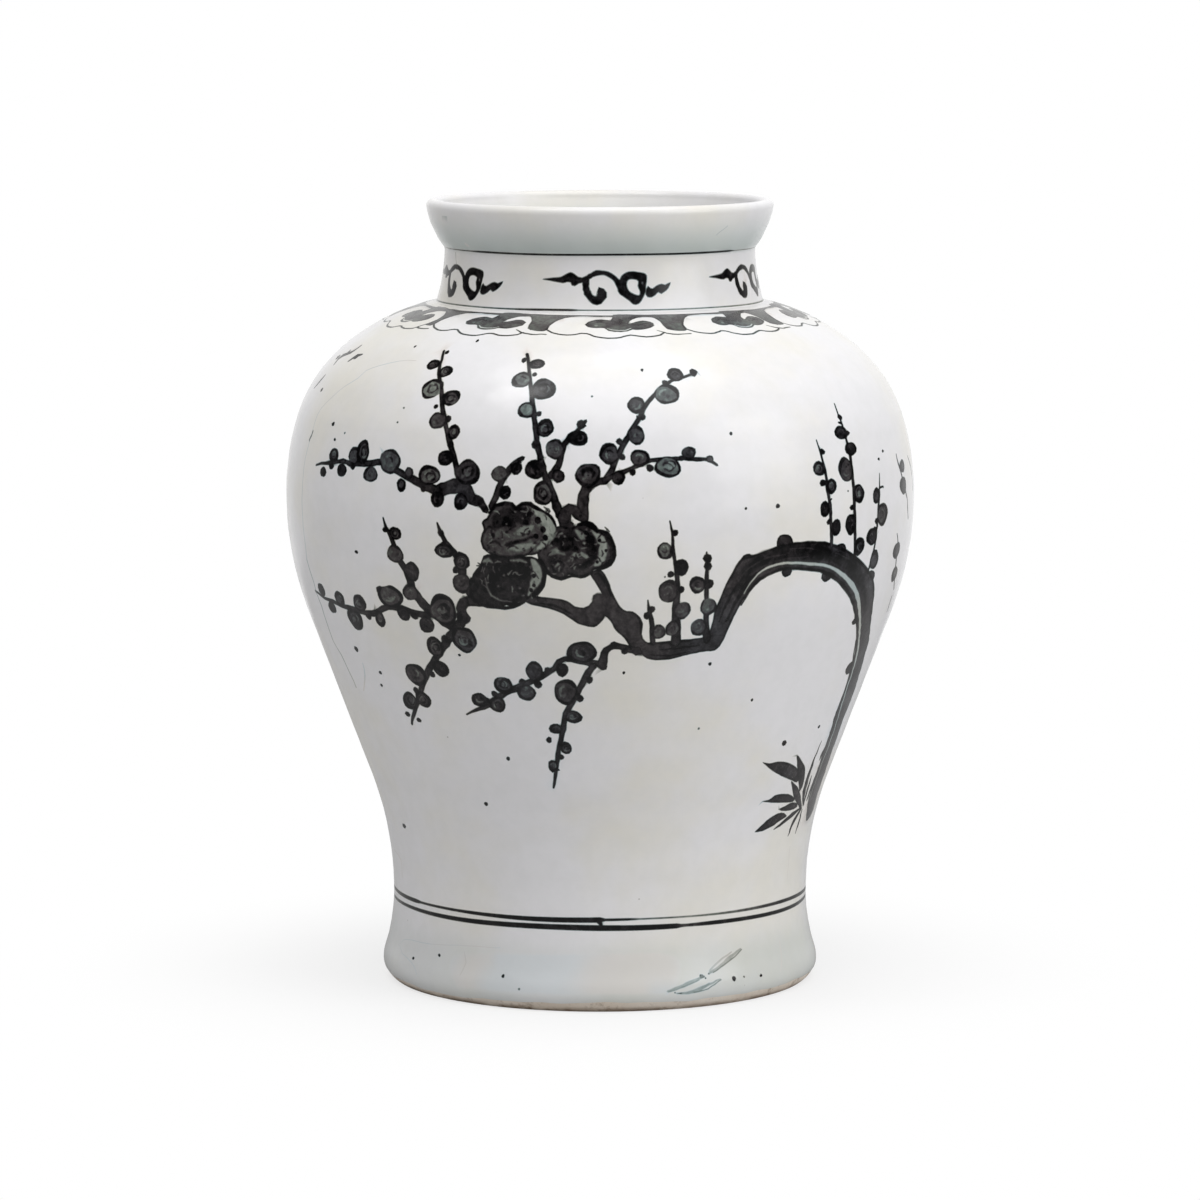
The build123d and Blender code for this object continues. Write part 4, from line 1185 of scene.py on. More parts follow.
def far_spots():
    """Random pin spots on the side that the photograph doesn't show."""
    for _ in range(FAR_SPOTS):
        turn, rise = brush.uniform(PI * 0.5, PI * 1.5), float(rise_at(brush.uniform(15, 380)))
        rim = np.full(10, brush.choice((0.3, 0.4, 0.5, 0.7)) / float(radius_at(rise)))
        add_mark("blob", [(turn, rise)], rim, plain(0.8, 0.9, 0.2), here)


kiln_marks()
far_spots()

# The skin's surface

COLUMNS = 256
# In mm: how far up the wavering of the lower edge reaches, and where the lip's rings take over
EDGE_WAVE_REACH = 7.0
LIP_START_HEIGHT = 393.0
# In mm: the net's grid, the finer grid near the foot and how far up that reaches, and its rows
GRID = 7.6
EDGE_GRID = 4.0
EDGE_REACH = 16.0
EDGE_ROW = 1.6
CREASE_ROW = 1.4
CREASE_REACH = 5
ROW_SHARE = 0.87
# Heights of whole rows of edges, close to the creases under and over the neck
CREASE_HEIGHT = 347.5
ROW_HEIGHTS = (CREASE_HEIGHT, 349.6, 345.4, 373.2, 374.4, 377.6, 378.9, 380.4)
# No free point of the grid is nearer to a line than this share of the grid
CLEARANCE = 0.36
# In radians: how far free points and lines stay from the seam, marks from both ends, and the last
# row of the grid from the top one
SEAM_MARGIN = 0.01
SEAM_GAP = 0.003
END_MARGIN = 0.004
TOP_MARGIN = 0.6 * GRID / 90
# The net is joined up at this scale
CDT_SCALE = 100.0
LIP_START = float(np.interp(LIP_START_HEIGHT, clay[upright, 1], line_way[upright]))
# Rings from the net up to the lip's crest. The hidden side has every fourth column, close to the clay
LIP_RINGS = 15
HIDDEN_SHARE = 4
HIDDEN_DEPTH = 0.02
CREASE_WAYS = [
    float(np.interp(height, coated[upright, 1], line_way[upright]))
    for height in (NECK_CORNER[1], GROOVE[1])
]

# Shallow lumps: pixel, spread and height in mm
LUMPS = (
    ((510, 415), 9.0, 0.22), ((492, 398), 5.0, 0.16), ((536, 432), 6.0, -0.12), ((700, 455), 6.0, 0.18),
    ((620, 468), 5.0, -0.14), ((372, 640), 7.0, 0.2), ((385, 655), 4.0, 0.14), ((650, 330), 8.0, 0.12),
    ((780, 420), 12.0, -0.16), ((430, 760), 14.0, 0.15), ((610, 830), 16.0, -0.16), ((512, 975), 3.0, 0.3),
    ((518, 960), 2.6, 0.22),
)
lump_places = on_skin([spot for spot, _, _ in LUMPS])
# Waves of the glaze's lower edge: height in mm, count round the jar and phase
EDGE_WAVES = ((0.9, 2, 0.6), (0.5, 5, 2.1), (0.3, 11, 0.9), (0.22, 23, 1.7), (0.14, 41, 0.0))
# Limits of the swellings, and the share of the glaze's thickness left at its lower edge
LOWEST, HIGHEST = -0.4, 0.6
EDGE_SHARE = 0.12
EDGE_THINNING = 3.0


def edge_wave(turn):
    """How far the glaze's lower edge strays along the outline."""
    return sum(high * np.sin(count * turn + phase) for high, count, phase in EDGE_WAVES)


def swell(turn, way):
    """Unevenness of the thrown and glazed surface, fading towards the lip and the glaze line."""
    fade = np.clip(way / 12, 0, 1) * np.clip((CREST_WAY - way) / 14, 0, 1)
    broad_ring = 0.045 * np.sin(2 * PI * way / 21 + 0.8 * np.sin(turn))
    narrow_ring = 0.02 * np.sin(2 * PI * way / 9.3 + 1.1 * np.cos(2 * turn))
    oval, three = 0.12 * np.sin(2 * turn + way / 95), 0.08 * np.sin(3 * turn - way / 60 + 1)
    out = (broad_ring + narrow_ring) + (oval + three + 0.03 * np.sin(7 * turn + way / 24))
    rise = rise_at(way)
    size = radius_at(rise)
    for (place_turn, place_rise), (_, spread, high) in zip(lump_places, LUMPS):
        square = ((turn - place_turn) ** 2 + (rise - place_rise) ** 2) * size**2
        out = out + high * np.exp(-0.5 * square / spread**2)
    return np.clip(fade * out, LOWEST, HIGHEST)


def thickness(way):
    """Thickness of the glaze, thinning out to its lower edge."""
    return GLAZE * (EDGE_SHARE + (1 - EDGE_SHARE) * np.sqrt(np.clip(way / EDGE_THINNING, 0, 1)))


def at_way(way, table):
    """A value of the whole outline at this length along it."""
    return np.interp(way, line_way, table)


def around(turn, radius, height):
    """Places at these turns, radii and heights, as an array of x, y, z."""
    return np.column_stack((radius * np.sin(turn), -radius * np.cos(turn), height))


def skin_points(turn, way, depth=None):
    """Places on the skin, or this far over the clay, in mm."""
    strayed = way + edge_wave(turn) * np.exp(-np.maximum(way, 0) / EDGE_WAVE_REACH)
    high = thickness(way) + swell(turn, way) if depth is None else depth
    radius, height = (at_way(strayed, clay[:, k]) + high * at_way(strayed, normal[:, k]) for k in (0, 1))
    return around(turn, radius, height)


def skin_normals(turn, way):
    """Normals of the skin, with its unevenness."""
    small = 0.2
    radius = np.maximum(at_way(way, coated[:, 0]), 1)
    lean_way = (swell(turn, way + small) - swell(turn, way - small)) / (2 * small)
    small_turn = small / radius
    lean_turn = (swell(turn + small_turn, way) - swell(turn - small_turn, way)) / (2 * small)
    out = np.column_stack([at_way(way, normal[:, k]) for k in (0, 1)])
    up = np.column_stack([at_way(way, tangent[:, k]) for k in (0, 1)])
    flat = out - lean_way[:, None] * up
    sine, cosine = np.sin(turn), np.cos(turn)
    vectors = np.column_stack((flat[:, 0] * sine, -flat[:, 0] * cosine, flat[:, 1]))
    vectors -= lean_turn[:, None] * np.column_stack((cosine, sine, np.zeros(len(turn))))
    return vectors / np.linalg.norm(vectors, axis=1)[:, None]


def parted(line):
    """The parts of a line on either side of the seam at the back, each ending on it."""
    turn = (line[:, 0] + PI) % (2 * PI) - PI
    nearest = PI - SEAM_GAP
    turn = np.where(abs(turn) > nearest, np.sign(turn) * nearest, turn)
    line = np.column_stack((turn, line[:, 1]))
    parts, part = [], [line[0]]
    for a, b in zip(line, line[1:]):
        if abs(b[0] - a[0]) > PI:
            side = math.copysign(PI, a[0])
            share = (side - a[0]) / (b[0] + 2 * side - a[0])
            rise = a[1] + share * (b[1] - a[1])
            parts.append(np.array(part + [(side, rise)]))
            part = [(-side, rise)]
        part.append(b)
    return parts + [np.array(part)]


def net_rows(top):
    """Conformal heights of the grid's rows, closer to each other near the foot and the neck's crease."""
    crease = way_at(rise_of_height(CREASE_HEIGHT))
    rows = [0.0]
    while rows[-1] < top:
        way = float(way_at(rows[-1]))
        step = GRID * ROW_SHARE
        if way < EDGE_REACH:
            step = EDGE_ROW
        elif abs(way - crease) < CREASE_REACH:
            step = CREASE_ROW
        rows.append(rows[-1] + step / float(radius_at(rows[-1])))
    return [row for row in rows if row < top - TOP_MARGIN]


def plan():
    """The (turn, rise) net: outlines of all marks as fixed edges, with a plain grid between them."""
    top = float(rise_at(LIP_START))
    spots, edges = [], []

    def add_line(line):
        """Adds a line of fixed edges."""
        start = len(spots)
        spots.extend(map(tuple, line))
        edges.extend((k, k + 1) for k in range(start, start + len(line) - 1))

    rows = net_rows(top)
    fixed_rows = [float(rise_of_height(height)) for height in ROW_HEIGHTS]
    columns = np.linspace(-PI, PI, COLUMNS + 1)
    for rise in [0.0, top] + fixed_rows:
        add_line(np.column_stack((columns, np.full(COLUMNS + 1, rise))))
    seam = sorted(rows + fixed_rows + [top])
    for side in (-PI, -PI / 2, PI / 2, PI):
        add_line([(side, rise) for rise in seam])
    for item in [ground] + bands:
        for line in item.loops():
            add_line(line)
    for item in marks:
        for line in item.loops():
            if line[:, 1].min() > END_MARGIN and line[:, 1].max() < top - END_MARGIN:
                for part in parted(line):
                    add_line(part)
    lines = KDTree(len(spots))
    for k, (turn, rise) in enumerate(spots):
        lines.insert((turn, rise, 0), k)
    lines.balance()
    offset = 0.0
    for rise in rows[1:]:
        radius = float(radius_at(rise))
        apart = EDGE_GRID if way_at(rise) < EDGE_REACH else GRID
        count = int(2 * PI * radius / apart)
        offset = 0.5 - offset
        for turn in (np.arange(count) + 0.25 + offset) / count * 2 * PI - PI:
            clear = lines.find((turn, rise, 0))[2] * radius > CLEARANCE * apart
            if clear and abs(turn) < PI - SEAM_MARGIN:
                spots.append((turn, rise))
    points, _, faces, _, _, _ = delaunay_2d_cdt(
        [Vector((u * CDT_SCALE, v * CDT_SCALE)) for u, v in spots], edges, [], 0, 1e-3
    )
    return np.array(points)[:, :2] / CDT_SCALE, np.array([f for f in faces if len(f) == 3]), top


def ring_faces(low, high):
    """Quads between two rings of the same count."""
    return [(low[k], low[(k + 1) % len(low)], high[(k + 1) % len(low)], high[k]) for k in range(len(low))]


def mesh_piece(name, points, faces, normals, uv=None, ink=None):
    """A mesh object in metres, smooth, with its own normals, map and ink."""
    mesh = bpy.data.meshes.new(name)
    mesh.from_pydata((points * MM).tolist(), [], [list(map(int, f)) for f in faces])
    mesh.polygons.foreach_set("use_smooth", np.ones(len(mesh.polygons), bool))
    if ink is not None:
        mesh.attributes.new("ink", "FLOAT", "POINT").data.foreach_set("value", np.asarray(ink, np.float32))
    if uv is not None:
        mesh.uv_layers.new(name="OFBake").data.foreach_set("uv", np.asarray(uv, np.float32).ravel())
    mesh.validate()
    mesh.normals_split_custom_set_from_vertices([Vector(n) for n in normals])
    mesh.update()
    piece = bpy.data.objects.new(name, mesh)
    bpy.context.scene.collection.objects.link(piece)
    return piece


class Rings:
    """The skin's points: first those of the net, then rings at one length along the outline each."""

    def __init__(self, turn, way, ink):
        self.rows = [(skin_points(turn, way), skin_normals(turn, way), ink, turn, way)]
        self.count = len(turn)

    def add(self, turn, level, depth=None):
        """Adds a ring and gives its point numbers. A ring with a depth faces the clay."""
        way = np.full(len(turn), level)
        normals = skin_normals(turn, way) if depth is None else -skin_normals(turn, way)
        self.rows.append((skin_points(turn, way, depth), normals, np.zeros(len(turn)), turn, way))
        self.count += len(turn)
        return list(range(self.count - len(turn), self.count))

    def joined(self):
        """All points, normals, inks, turns and lengths."""
        return [np.concatenate(column) for column in zip(*self.rows)]


def painted_net():
    """The net's points in the order of their rise, its faces looking outwards, and the ink."""
    spots, faces, top = plan()
    order = np.argsort(spots[:, 1], kind="stable")
    place_of = np.empty(len(order), int)
    place_of[order] = np.arange(len(order))
    spots, faces = spots[order], place_of[faces]
    radii = radius_at(spots[:, 1])
    ink = np.zeros(len(spots))
    for item in [ground] + marks + bands:
        item.paint(spots, radii, ink)
    a, b, c = spots[faces[:, 0]], spots[faces[:, 1]], spots[faces[:, 2]]
    area = (b[:, 0] - a[:, 0]) * (c[:, 1] - a[:, 1]) - (b[:, 1] - a[:, 1]) * (c[:, 0] - a[:, 0])
    faces = np.where((area < 0)[:, None], faces[:, ::-1], faces)[abs(area) > 1e-12]
    return spots, faces, ink, top


def welded(spots):
    """For each point its own number, or that of its twin on the other side of the seam."""
    left = {round(v, 5): k for k, (u, v) in enumerate(spots) if u < -PI + 1e-5}
    weld = np.arange(len(spots))
    for k in np.nonzero(spots[:, 0] > PI - 1e-5)[0]:
        weld[k] = left[min(left, key=lambda v: abs(v - spots[k, 1]))]
    return weld


def flat_map(turns, ways, hidden=False):
    """Map of the two halves, one above the other, with the hidden side in a thin strip."""
    ways = ways / CREST_WAY
    crossing = turns.max(1) - turns.min(1) > PI
    turns[crossing] = np.where(turns[crossing] < 0, turns[crossing] + 2 * PI, turns[crossing])
    if hidden:
        across, up = (turns + PI) / (3 * PI), 0.985 + 0.012 * ways
    else:
        middle = turns.mean(1)[:, None]
        front = abs(middle) < PI / 2
        round_back = np.where(middle < 0, turns + 2 * PI, turns)
        across = np.where(front, turns + PI / 2, round_back - PI / 2) / PI
        up = np.where(front, 0.01, 0.495) + 0.475 * ways
    return np.stack((across * 0.98 + 0.01, up), -1).reshape(-1, 2)


def hidden_ways():
    """Lengths of the rings on the hidden side, close to each other at the creases."""
    ways = [CREST_WAY - 2]
    while ways[-1] > 12:
        crease = min(abs(ways[-1] - CREASE_WAYS[0]), abs(ways[-1] - CREASE_WAYS[1]))
        ways.append(ways[-1] - (0.6 if crease < 3 else 1.2 if crease < 8 else 5.0))
    return ways + [6, 3, 1]


def build_painted_skin():
    """Outer glaze with the painting in its mesh, closed at the lip and at the glaze line."""
    spots, faces, ink, top = painted_net()
    turn, rise = spots.T

    def ring_at(level):
        """Point numbers of the net's row at this rise, in the order of their turn."""
        on = np.nonzero((abs(rise - level) < 1e-6) & (turn < PI - 1e-5))[0]
        return [int(k) for k in on[np.argsort(turn[on])]]

    rings = Rings(turn, way_at(rise), ink)
    previous = ring_at(top)
    ring_turn = turn[previous]
    lip = []
    for level in np.linspace(LIP_START, CREST_WAY, LIP_RINGS + 1)[1:]:
        ring = rings.add(ring_turn, level)
        lip += ring_faces(previous, ring)
        previous = ring
    inner = [rings.add(ring_turn[::HIDDEN_SHARE], level, HIDDEN_DEPTH) for level in hidden_ways()]
    thin = fan(previous, inner[0]) + [f[::-1] for f in fan(ring_at(0.0), inner[-1])]
    broad = [face for low, high in zip(inner, inner[1:]) for face in ring_faces(low, high)]

    points, normals, ink, turns, ways = rings.joined()
    blocks = ((faces, False), (np.array(lip), False), (np.array(thin), True), (np.array(broad), True))
    uv = np.vstack([flat_map(turns[block], ways[block], hidden) for block, hidden in blocks])
    kept = welded(spots)[faces].tolist() + lip + thin + broad
    used = np.zeros(len(points), bool)
    for face in kept:
        used[list(face)] = True
    new = np.cumsum(used) - 1
    kept = [[int(new[k]) for k in face] for face in kept]
    return mesh_piece("painted_glaze_coat", points[used], kept, normals[used], uv, ink[used])


def fan(dense, few):
    """Faces from a dense ring to one with fewer columns, turning inwards."""
    out = []
    step = len(dense) // len(few)
    for k in range(len(few)):
        a, b = few[k], few[(k + 1) % len(few)]
        run = [dense[(k * step + j) % len(dense)] for j in range(step + 1)]
        for j in range(step):
            out.append((run[j], run[j + 1], b if j >= step // 2 else a))
        out.append((a, run[step // 2], b))
    return out


def inner_step(way):
    """How far the next ring inside is from this one: close at the lip, throat, bead and floor."""
    height = at_way(way, clay[:, 1])
    near = abs(way - CREST_WAY)
    if near < 8:
        return 0.5
    return 0.9 if near < 55 or abs(height - BEAD_HEIGHT) < 8 or height < 30 else 4.0


def build_inner_skin():
    """Glaze from the lip's crest down the inside to the floor."""
    end = line_way[-1] - 0.6
    ways = [CREST_WAY]
    while ways[-1] < end - 2:
        ways.append(ways[-1] + inner_step(ways[-1]))
    ways[-1] = end
    turn = np.linspace(-PI, PI, COLUMNS, endpoint=False)
    points, normals, faces, rings = [], [], [], []
    for level in ways:
        rings.append(list(range(len(rings) * COLUMNS, (len(rings) + 1) * COLUMNS)))
        radius, height = (at_way(level, clay[:, k]) + GLAZE * at_way(level, normal[:, k]) for k in (0, 1))
        out, up = at_way(level, normal[:, 0]), at_way(level, normal[:, 1])
        points.append(around(turn, radius, np.full(COLUMNS, height)))
        normals.append(around(turn, out, np.full(COLUMNS, up)))
    for low, high in zip(rings, rings[1:]):
        faces += ring_faces(low, high)
    points, normals = np.vstack(points), np.vstack(normals)
    centre = len(points)
    points = np.vstack((points, (0, 0, points[-1, 2])))
    normals = np.vstack((normals, (0, 0, 1)))
    faces += [(rings[-1][k], rings[-1][(k + 1) % COLUMNS], centre) for k in range(COLUMNS)]
    return mesh_piece("plain_glaze_coat", points, faces, normals)


# Materials


def srgb(*seen):
    """A linear colour from the 0-255 values it is seen at."""
    shares = [value / 255 for value in seen]
    return tuple(c / 12.92 if c <= 0.04045 else ((c + 0.055) / 1.055) ** 2.4 for c in shares) + (1.0,)


class Nodes:
    """Short ways to wire a material."""

    def __init__(self, name):
        self.material = bpy.data.materials.new(name)
        self.material.use_nodes = True
        self.tree = self.material.node_tree
        self.shader = self.tree.nodes["Principled BSDF"]
        self.place = self.add("ShaderNodeTexCoord").outputs["Object"]

    def add(self, kind, **values):
        """A new node with these settings."""
        node = self.tree.nodes.new(kind)
        for key, value in values.items():
            setattr(node, key, value)
        return node

    def wire(self, source, target):
        """Feeds a socket from another one, or sets its value."""
        if isinstance(source, bpy.types.NodeSocket):
            self.tree.links.new(source, target)
        else:
            target.default_value = source

    def noise(self, scale, detail=3.0, rough=0.55, distortion=0.0):
        """Soft noise in space."""
        node = self.add("ShaderNodeTexNoise")
        sources = {"Scale": scale, "Detail": detail, "Roughness": rough, "Distortion": distortion}
        self.wire(self.place, node.inputs["Vector"])
        for name, source in sources.items():
            self.wire(source, node.inputs[name])
        return node.outputs["Fac"]

    def spots(self, scale):
        """Cells in space."""
        node = self.add("ShaderNodeTexVoronoi")
        self.wire(self.place, node.inputs["Vector"])
        node.inputs["Scale"].default_value = scale
        return node

    def math(self, kind, a, b=0.0, c=0.0, clamp=False):
        """One step of arithmetic."""
        node = self.add("ShaderNodeMath", operation=kind, use_clamp=clamp)
        for value, socket in zip((a, b, c), node.inputs):
            self.wire(value, socket)
        return node.outputs[0]

    def between(self, value, low, high, to_low=0.0, to_high=1.0):
        """A smooth step between two values."""
        node = self.add("ShaderNodeMapRange", clamp=True, interpolation_type="SMOOTHSTEP")
        for source, socket in zip((value, low, high, to_low, to_high), node.inputs):
            self.wire(source, socket)
        return node.outputs[0]

    def mix(self, share, a, b, kind="MIX"):
        """Two colours mixed by a share."""
        node = self.add("ShaderNodeMix", data_type="RGBA", blend_type=kind, clamp_factor=True)
        self.wire(share, node.inputs[0])
        self.wire(a, node.inputs[6])
        self.wire(b, node.inputs[7])
        return node.outputs[2]

    def ramp(self, value, stops):
        """A colour ramp over these stops."""
        node = self.add("ShaderNodeValToRGB")
        self.wire(value, node.inputs[0])
        ramp = node.color_ramp
        while len(ramp.elements) < len(stops):
            ramp.elements.new(0.5)
        for element, (at, colour) in zip(ramp.elements, stops):
            element.position, element.color = at, colour
        return node.outputs[0]

    def bump(self, height, distance, strength, before=None):
        """Fine relief that only bends the light."""
        node = self.add("ShaderNodeBump")
        self.wire(height, node.inputs["Height"])
        node.inputs["Distance"].default_value = distance
        node.inputs["Strength"].default_value = strength
        if before is not None:
            self.wire(before, node.inputs["Normal"])
        return node.outputs["Normal"]

    def height(self):
        """Height above the table in metres."""
        node = self.add("ShaderNodeSeparateXYZ")
        self.wire(self.place, node.inputs[0])
        return node.outputs["Z"]


WHITE_GLAZE = srgb(224, 223, 225)
WARM_GLAZE = srgb(222, 219, 211)
GREEN_GLAZE = srgb(186, 192, 187)
COOL_TINT, WARM_TINT = (0.93, 1.0, 1.05, 1), (1.06, 0.98, 0.93, 1)
INK_STOPS = (
    (0.0, WHITE_GLAZE), (0.14, srgb(190, 194, 192)), (0.34, srgb(136, 145, 140)), (0.55, srgb(90, 97, 93)),
    (0.72, srgb(62, 60, 62)), (0.86, srgb(36, 34, 36)), (1.0, srgb(2, 2, 3)),
)


def glaze_material(name, painted):
    """Clear glaze over porcelain, with the painting in it where asked."""
    n = Nodes(name)
    height = n.height()
    # Warm clouds and fine grey grain in the white
    cloudy = n.noise(9.0, 4.0, 0.6)
    base = n.mix(n.between(cloudy, 0.42, 0.68), WHITE_GLAZE, WARM_GLAZE)
    fine = n.noise(140.0, 3.0, 0.6)
    base = n.mix(n.between(fine, 0.3, 0.75, 0.0, 0.16), base, srgb(203, 204, 203))
    # Greener glaze on the mouth ring and at the foot, where it lies thicker. On the mouth ring the colour
    # also darkens down towards the groove, partly as painted shade of its downward-facing side
    mouth_pool_and_shade = n.between(height, 0.397, 0.377, 0.0, 0.75)
    mouth_pool_and_shade = n.math("MULTIPLY", mouth_pool_and_shade, n.between(height, 0.374, 0.3765))
    base = n.mix(mouth_pool_and_shade, base, srgb(180, 191, 188))
    foot = n.between(height, 0.04, 0.022, 0.0, 0.5)
    patches = n.between(n.noise(14.0, 3.0, 0.5), 0.3, 0.6, 0.6, 1.0)
    base = n.mix(n.math("MULTIPLY", foot, patches), base, GREEN_GLAZE)
    # A few brown specks
    specks = n.spots(95.0)
    keep = n.math("GREATER_THAN", specks.outputs["Color"], 0.86)
    speck = n.math("MULTIPLY", n.between(specks.outputs["Distance"], 0.06, 0.025), keep)
    base = n.mix(n.math("MULTIPLY", speck, 0.5), base, srgb(120, 112, 100))
    normal_in = n.bump(n.noise(34.0, 2.0, 0.5), 0.0006, 0.25)
    normal_in = n.bump(n.noise(260.0, 2.0, 0.5), 0.00012, 0.25, normal_in)
    rough = n.between(n.noise(48.0, 3.0, 0.6), 0.3, 0.7, 0.16, 0.25)
    if painted:
        # The ink of the mesh, made uneven by grain and by pools, and a little cooler or warmer
        ink = n.add("ShaderNodeAttribute", attribute_name="ink", attribute_type="GEOMETRY").outputs["Fac"]
        mottle = n.noise(420.0, 4.0, 0.65)
        pooled = n.noise(130.0, 3.0, 0.6, distortion=0.6)
        mottle = n.math("MULTIPLY_ADD", mottle, 0.36, -0.18)
        pooled = n.math("MULTIPLY_ADD", pooled, 0.5, -0.25)
        grain = n.math("ADD", mottle, pooled)
        there = n.between(ink, 0.05, 0.6)
        ink_now = n.math("MULTIPLY_ADD", grain, there, ink, clamp=True)
        tint = n.mix(n.between(n.noise(17.0, 2.0, 0.5), 0.4, 0.6), COOL_TINT, WARM_TINT)
        colour = n.mix(0.9, n.ramp(ink_now, INK_STOPS), tint, "MULTIPLY")
        base = n.mix(n.between(ink, 0.0, 0.1), base, colour)
    n.wire(base, n.shader.inputs["Base Color"])
    n.wire(rough, n.shader.inputs["Roughness"])
    n.wire(normal_in, n.shader.inputs["Normal"])
    n.shader.inputs["IOR"].default_value = 1.5
    n.shader.inputs["Specular IOR Level"].default_value = 0.32
    return n.material


def biscuit_material(name, colour, dark, light):
    """Bare fired clay: gritty, with darker and paler places, and a dark band along its bottom edge that is
    partly scorching and partly painted contact shadow.
    """
    n = Nodes(name)
    height = n.height()
    base = n.mix(n.between(n.noise(22.0, 4.0, 0.6), 0.35, 0.65), colour, light)
    base = n.mix(n.between(n.noise(160.0, 4.0, 0.7), 0.5, 0.75, 0.0, 0.8), base, dark)
    # Darker in patches along the bottom edge: partly scorching of the clay, partly painted contact shadow
    # where the foot stands on the floor
    low_down, patches = n.between(height, 0.0035, 0.0005), n.between(n.noise(40.0, 3.0, 0.6), 0.3, 0.6)
    scorched_and_contact_shade = n.math("MULTIPLY", low_down, patches)
    base = n.mix(n.math("MULTIPLY", scorched_and_contact_shade, 0.8), base, dark)
    n.wire(base, n.shader.inputs["Base Color"])
    n.wire(n.bump(n.noise(700.0, 4.0, 0.7), 0.0003, 0.6), n.shader.inputs["Normal"])
    n.wire(n.between(n.noise(90.0), 0.3, 0.7, 0.62, 0.85), n.shader.inputs["Roughness"])
    return n.material


painted_glaze = glaze_material("painted_glaze", True)
plain_glaze = glaze_material("plain_glaze", False)
# Each bare material has its colour, its dark places and its light ones
of_slot = {
    "biscuit": biscuit_material("biscuit", srgb(212, 199, 184), srgb(128, 104, 82), srgb(222, 213, 202)),
    "clay": biscuit_material("clay", srgb(226, 222, 214), srgb(196, 190, 180), srgb(234, 231, 226)),
    "slip": biscuit_material("slip", srgb(218, 213, 203), srgb(186, 178, 166), srgb(228, 224, 216)),
}
slots = {row["node"]: row["material_slot"] for row in frame["record"]["subparts"]}
for node_name, node in frame["nodes"].items():
    node.data.materials.clear()
    node.data.materials.append(of_slot.get(slots[node_name], plain_glaze))

painted_coat = build_painted_skin()
painted_coat.data.materials.append(painted_glaze)
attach(painted_coat, "root")
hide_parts("outside_glaze")

inner_coat = build_inner_skin()
inner_coat.data.materials.append(plain_glaze)
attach(inner_coat, "root")
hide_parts("inside_glaze")

# Stage, light, camera


def stage_material(name):
    """White as seen and reflected, plain pale to the light, so that the shadow stays."""
    n = Nodes(name)
    n.tree.nodes.remove(n.shader)
    path = n.add("ShaderNodeLightPath")
    seen = n.math("MAXIMUM", path.outputs["Is Camera Ray"], path.outputs["Is Glossy Ray"])
    seen = n.math("MAXIMUM", seen, path.outputs["Is Transmission Ray"])
    diffuse = n.add("ShaderNodeBsdfDiffuse")
    pale = n.math("MULTIPLY_ADD", path.outputs["Is Camera Ray"], 0.23, 0.57)
    n.wire(n.math("MULTIPLY_ADD", path.outputs["Is Glossy Ray"], -0.22, pale), diffuse.inputs["Color"])
    glow = n.add("ShaderNodeEmission")
    glow.inputs["Color"].default_value = (1, 1, 1, 1)
    both = n.add("ShaderNodeMixShader")
    spot = n.add("ShaderNodeVectorMath", operation="LENGTH")
    n.wire(n.place, spot.inputs[0])
    share = n.between(spot.outputs["Value"], 0.11, 0.3, 0.72, 1.0)
    share = n.math("MULTIPLY", share, n.math("MULTIPLY_ADD", path.outputs["Is Glossy Ray"], -0.85, 1.0))
    n.wire(n.math("MULTIPLY", seen, share), both.inputs[0])
    n.wire(diffuse.outputs[0], both.inputs[1])
    n.wire(glow.outputs[0], both.inputs[2])
    n.wire(both.outputs[0], n.tree.nodes["Material Output"].inputs["Surface"])
    return n.material


FLOOR_HALF = 0.9
floor_mesh = bpy.data.meshes.new("floor")
corners = [(x * FLOOR_HALF, y * FLOOR_HALF, 0) for x, y in ((-1, -1), (1, -1), (1, 1), (-1, 1))]
floor_mesh.from_pydata(corners, [], [(0, 1, 2, 3)])
floor = bpy.data.objects.new("floor", floor_mesh)
bpy.context.scene.collection.objects.link(floor)
floor.data.materials.append(stage_material("pale_floor"))

world = bpy.data.worlds.new("studio")
bpy.context.scene.world = world
world.use_nodes = True
sky = world.node_tree


def sky_node(kind, source, *targets, **values):
    """A node of the world's tree, fed by one socket into the named inputs."""
    node = sky.nodes.new(kind)
    for key, value in values.items():
        setattr(node, key, value)
    for target in targets:
        sky.links.new(source, node.inputs[target])
    return node


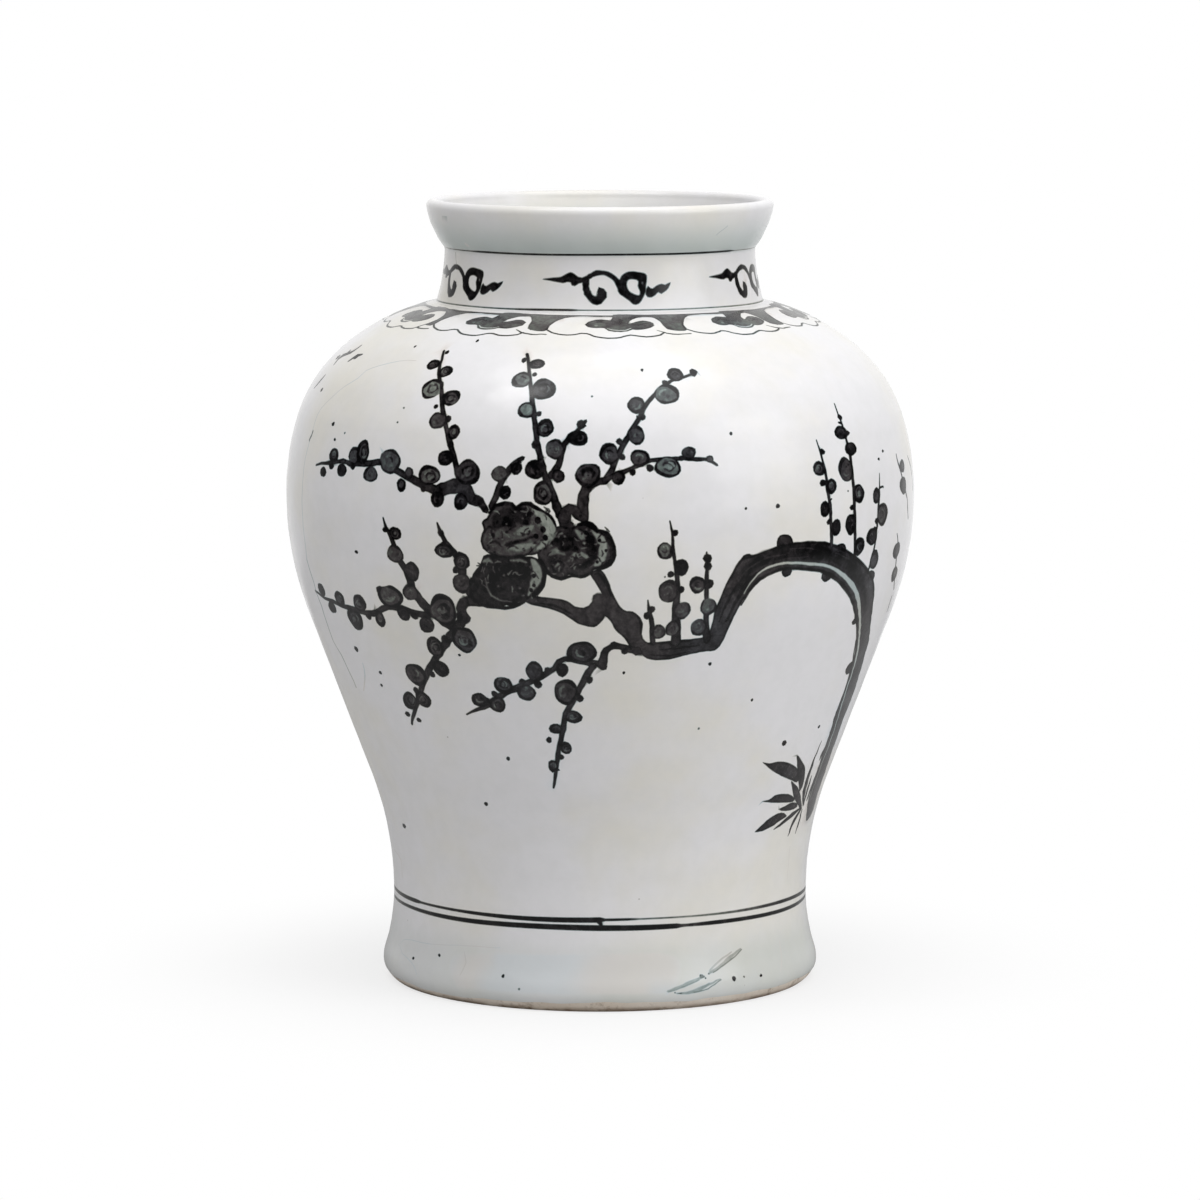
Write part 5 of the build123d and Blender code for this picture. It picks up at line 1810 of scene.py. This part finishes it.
# A white backdrop to the camera. In reflections it is white behind the jar and dim on the camera's side
path = sky.nodes.new("ShaderNodeLightPath")
facing = sky_node("ShaderNodeSeparateXYZ", sky.nodes.new("ShaderNodeTexCoord").outputs["Generated"], 0)
mirrored = sky_node("ShaderNodeMapRange", facing.outputs["Y"], 0)
for socket, value in zip(mirrored.inputs[1:5], (0.45, 1.0, 0.05, 1.0)):
    socket.default_value = value
mirrored = sky_node("ShaderNodeMath", mirrored.outputs[0], 0, operation="MULTIPLY")
sky.links.new(path.outputs["Is Glossy Ray"], mirrored.inputs[1])
seen = sky_node("ShaderNodeMath", path.outputs["Is Camera Ray"], 0, operation="MAXIMUM")
sky.links.new(path.outputs["Is Transmission Ray"], seen.inputs[1])
seen = sky_node("ShaderNodeMath", seen.outputs[0], 0, operation="MAXIMUM")
sky.links.new(mirrored.outputs[0], seen.inputs[1])
lit = sky_node("ShaderNodeMath", path.outputs["Is Diffuse Ray"], 0, operation="MULTIPLY")
lit.inputs[1].default_value = 0.52
level = sky_node("ShaderNodeMath", seen.outputs[0], 0, operation="MAXIMUM")
sky.links.new(lit.outputs[0], level.inputs[1])
sky.nodes["Background"].inputs["Color"].default_value = (1, 1, 1, 1)
sky.links.new(level.outputs[0], sky.nodes["Background"].inputs["Strength"])


def softbox(name, place, aim, width, height, power, colour):
    """A large area lamp aimed at a point."""
    lamp = bpy.data.lights.new(name, "AREA")
    lamp.color = colour
    lamp.shape, lamp.size, lamp.size_y, lamp.energy = "RECTANGLE", width, height, power
    made = bpy.data.objects.new(name, lamp)
    made.location = place
    made.rotation_mode = "QUATERNION"
    made.rotation_quaternion = (Vector(aim) - Vector(place)).to_track_quat("-Z", "Y")
    bpy.context.scene.collection.objects.link(made)


softbox("key_lamp", (2.3, -1.3, 1.3), (0, 0, 0.2), 1.8, 2.0, 28.0, (0.99, 0.995, 1.0))
softbox("top_lamp", (0.2, -0.5, 2.6), (0, 0, 0.3), 2.4, 2.4, 43.0, (1.0, 1.0, 1.0))
softbox("left_lamp", (-1.1, -0.8, 2.6), (-0.05, 0, 0.3), 0.6, 0.8, 8.0, (1.0, 0.995, 0.985))

camera_data = bpy.data.cameras.new("camera")
camera_data.sensor_fit = "HORIZONTAL"
camera_data.sensor_width = SENSOR_WIDTH
camera_data.lens = FOCAL_PIXELS * SENSOR_WIDTH / IMAGE_SIZE
camera_data.clip_start, camera_data.clip_end = 0.1, 20.0
camera = bpy.data.objects.new("camera", camera_data)
camera.location = CAMERA_PLACE * MM
camera.rotation_euler = (PI / 2 - CAMERA_DROP, 0, 0)
bpy.context.scene.collection.objects.link(camera)
bpy.context.scene.camera = camera

bpy.context.scene.view_settings.view_transform = "Standard"
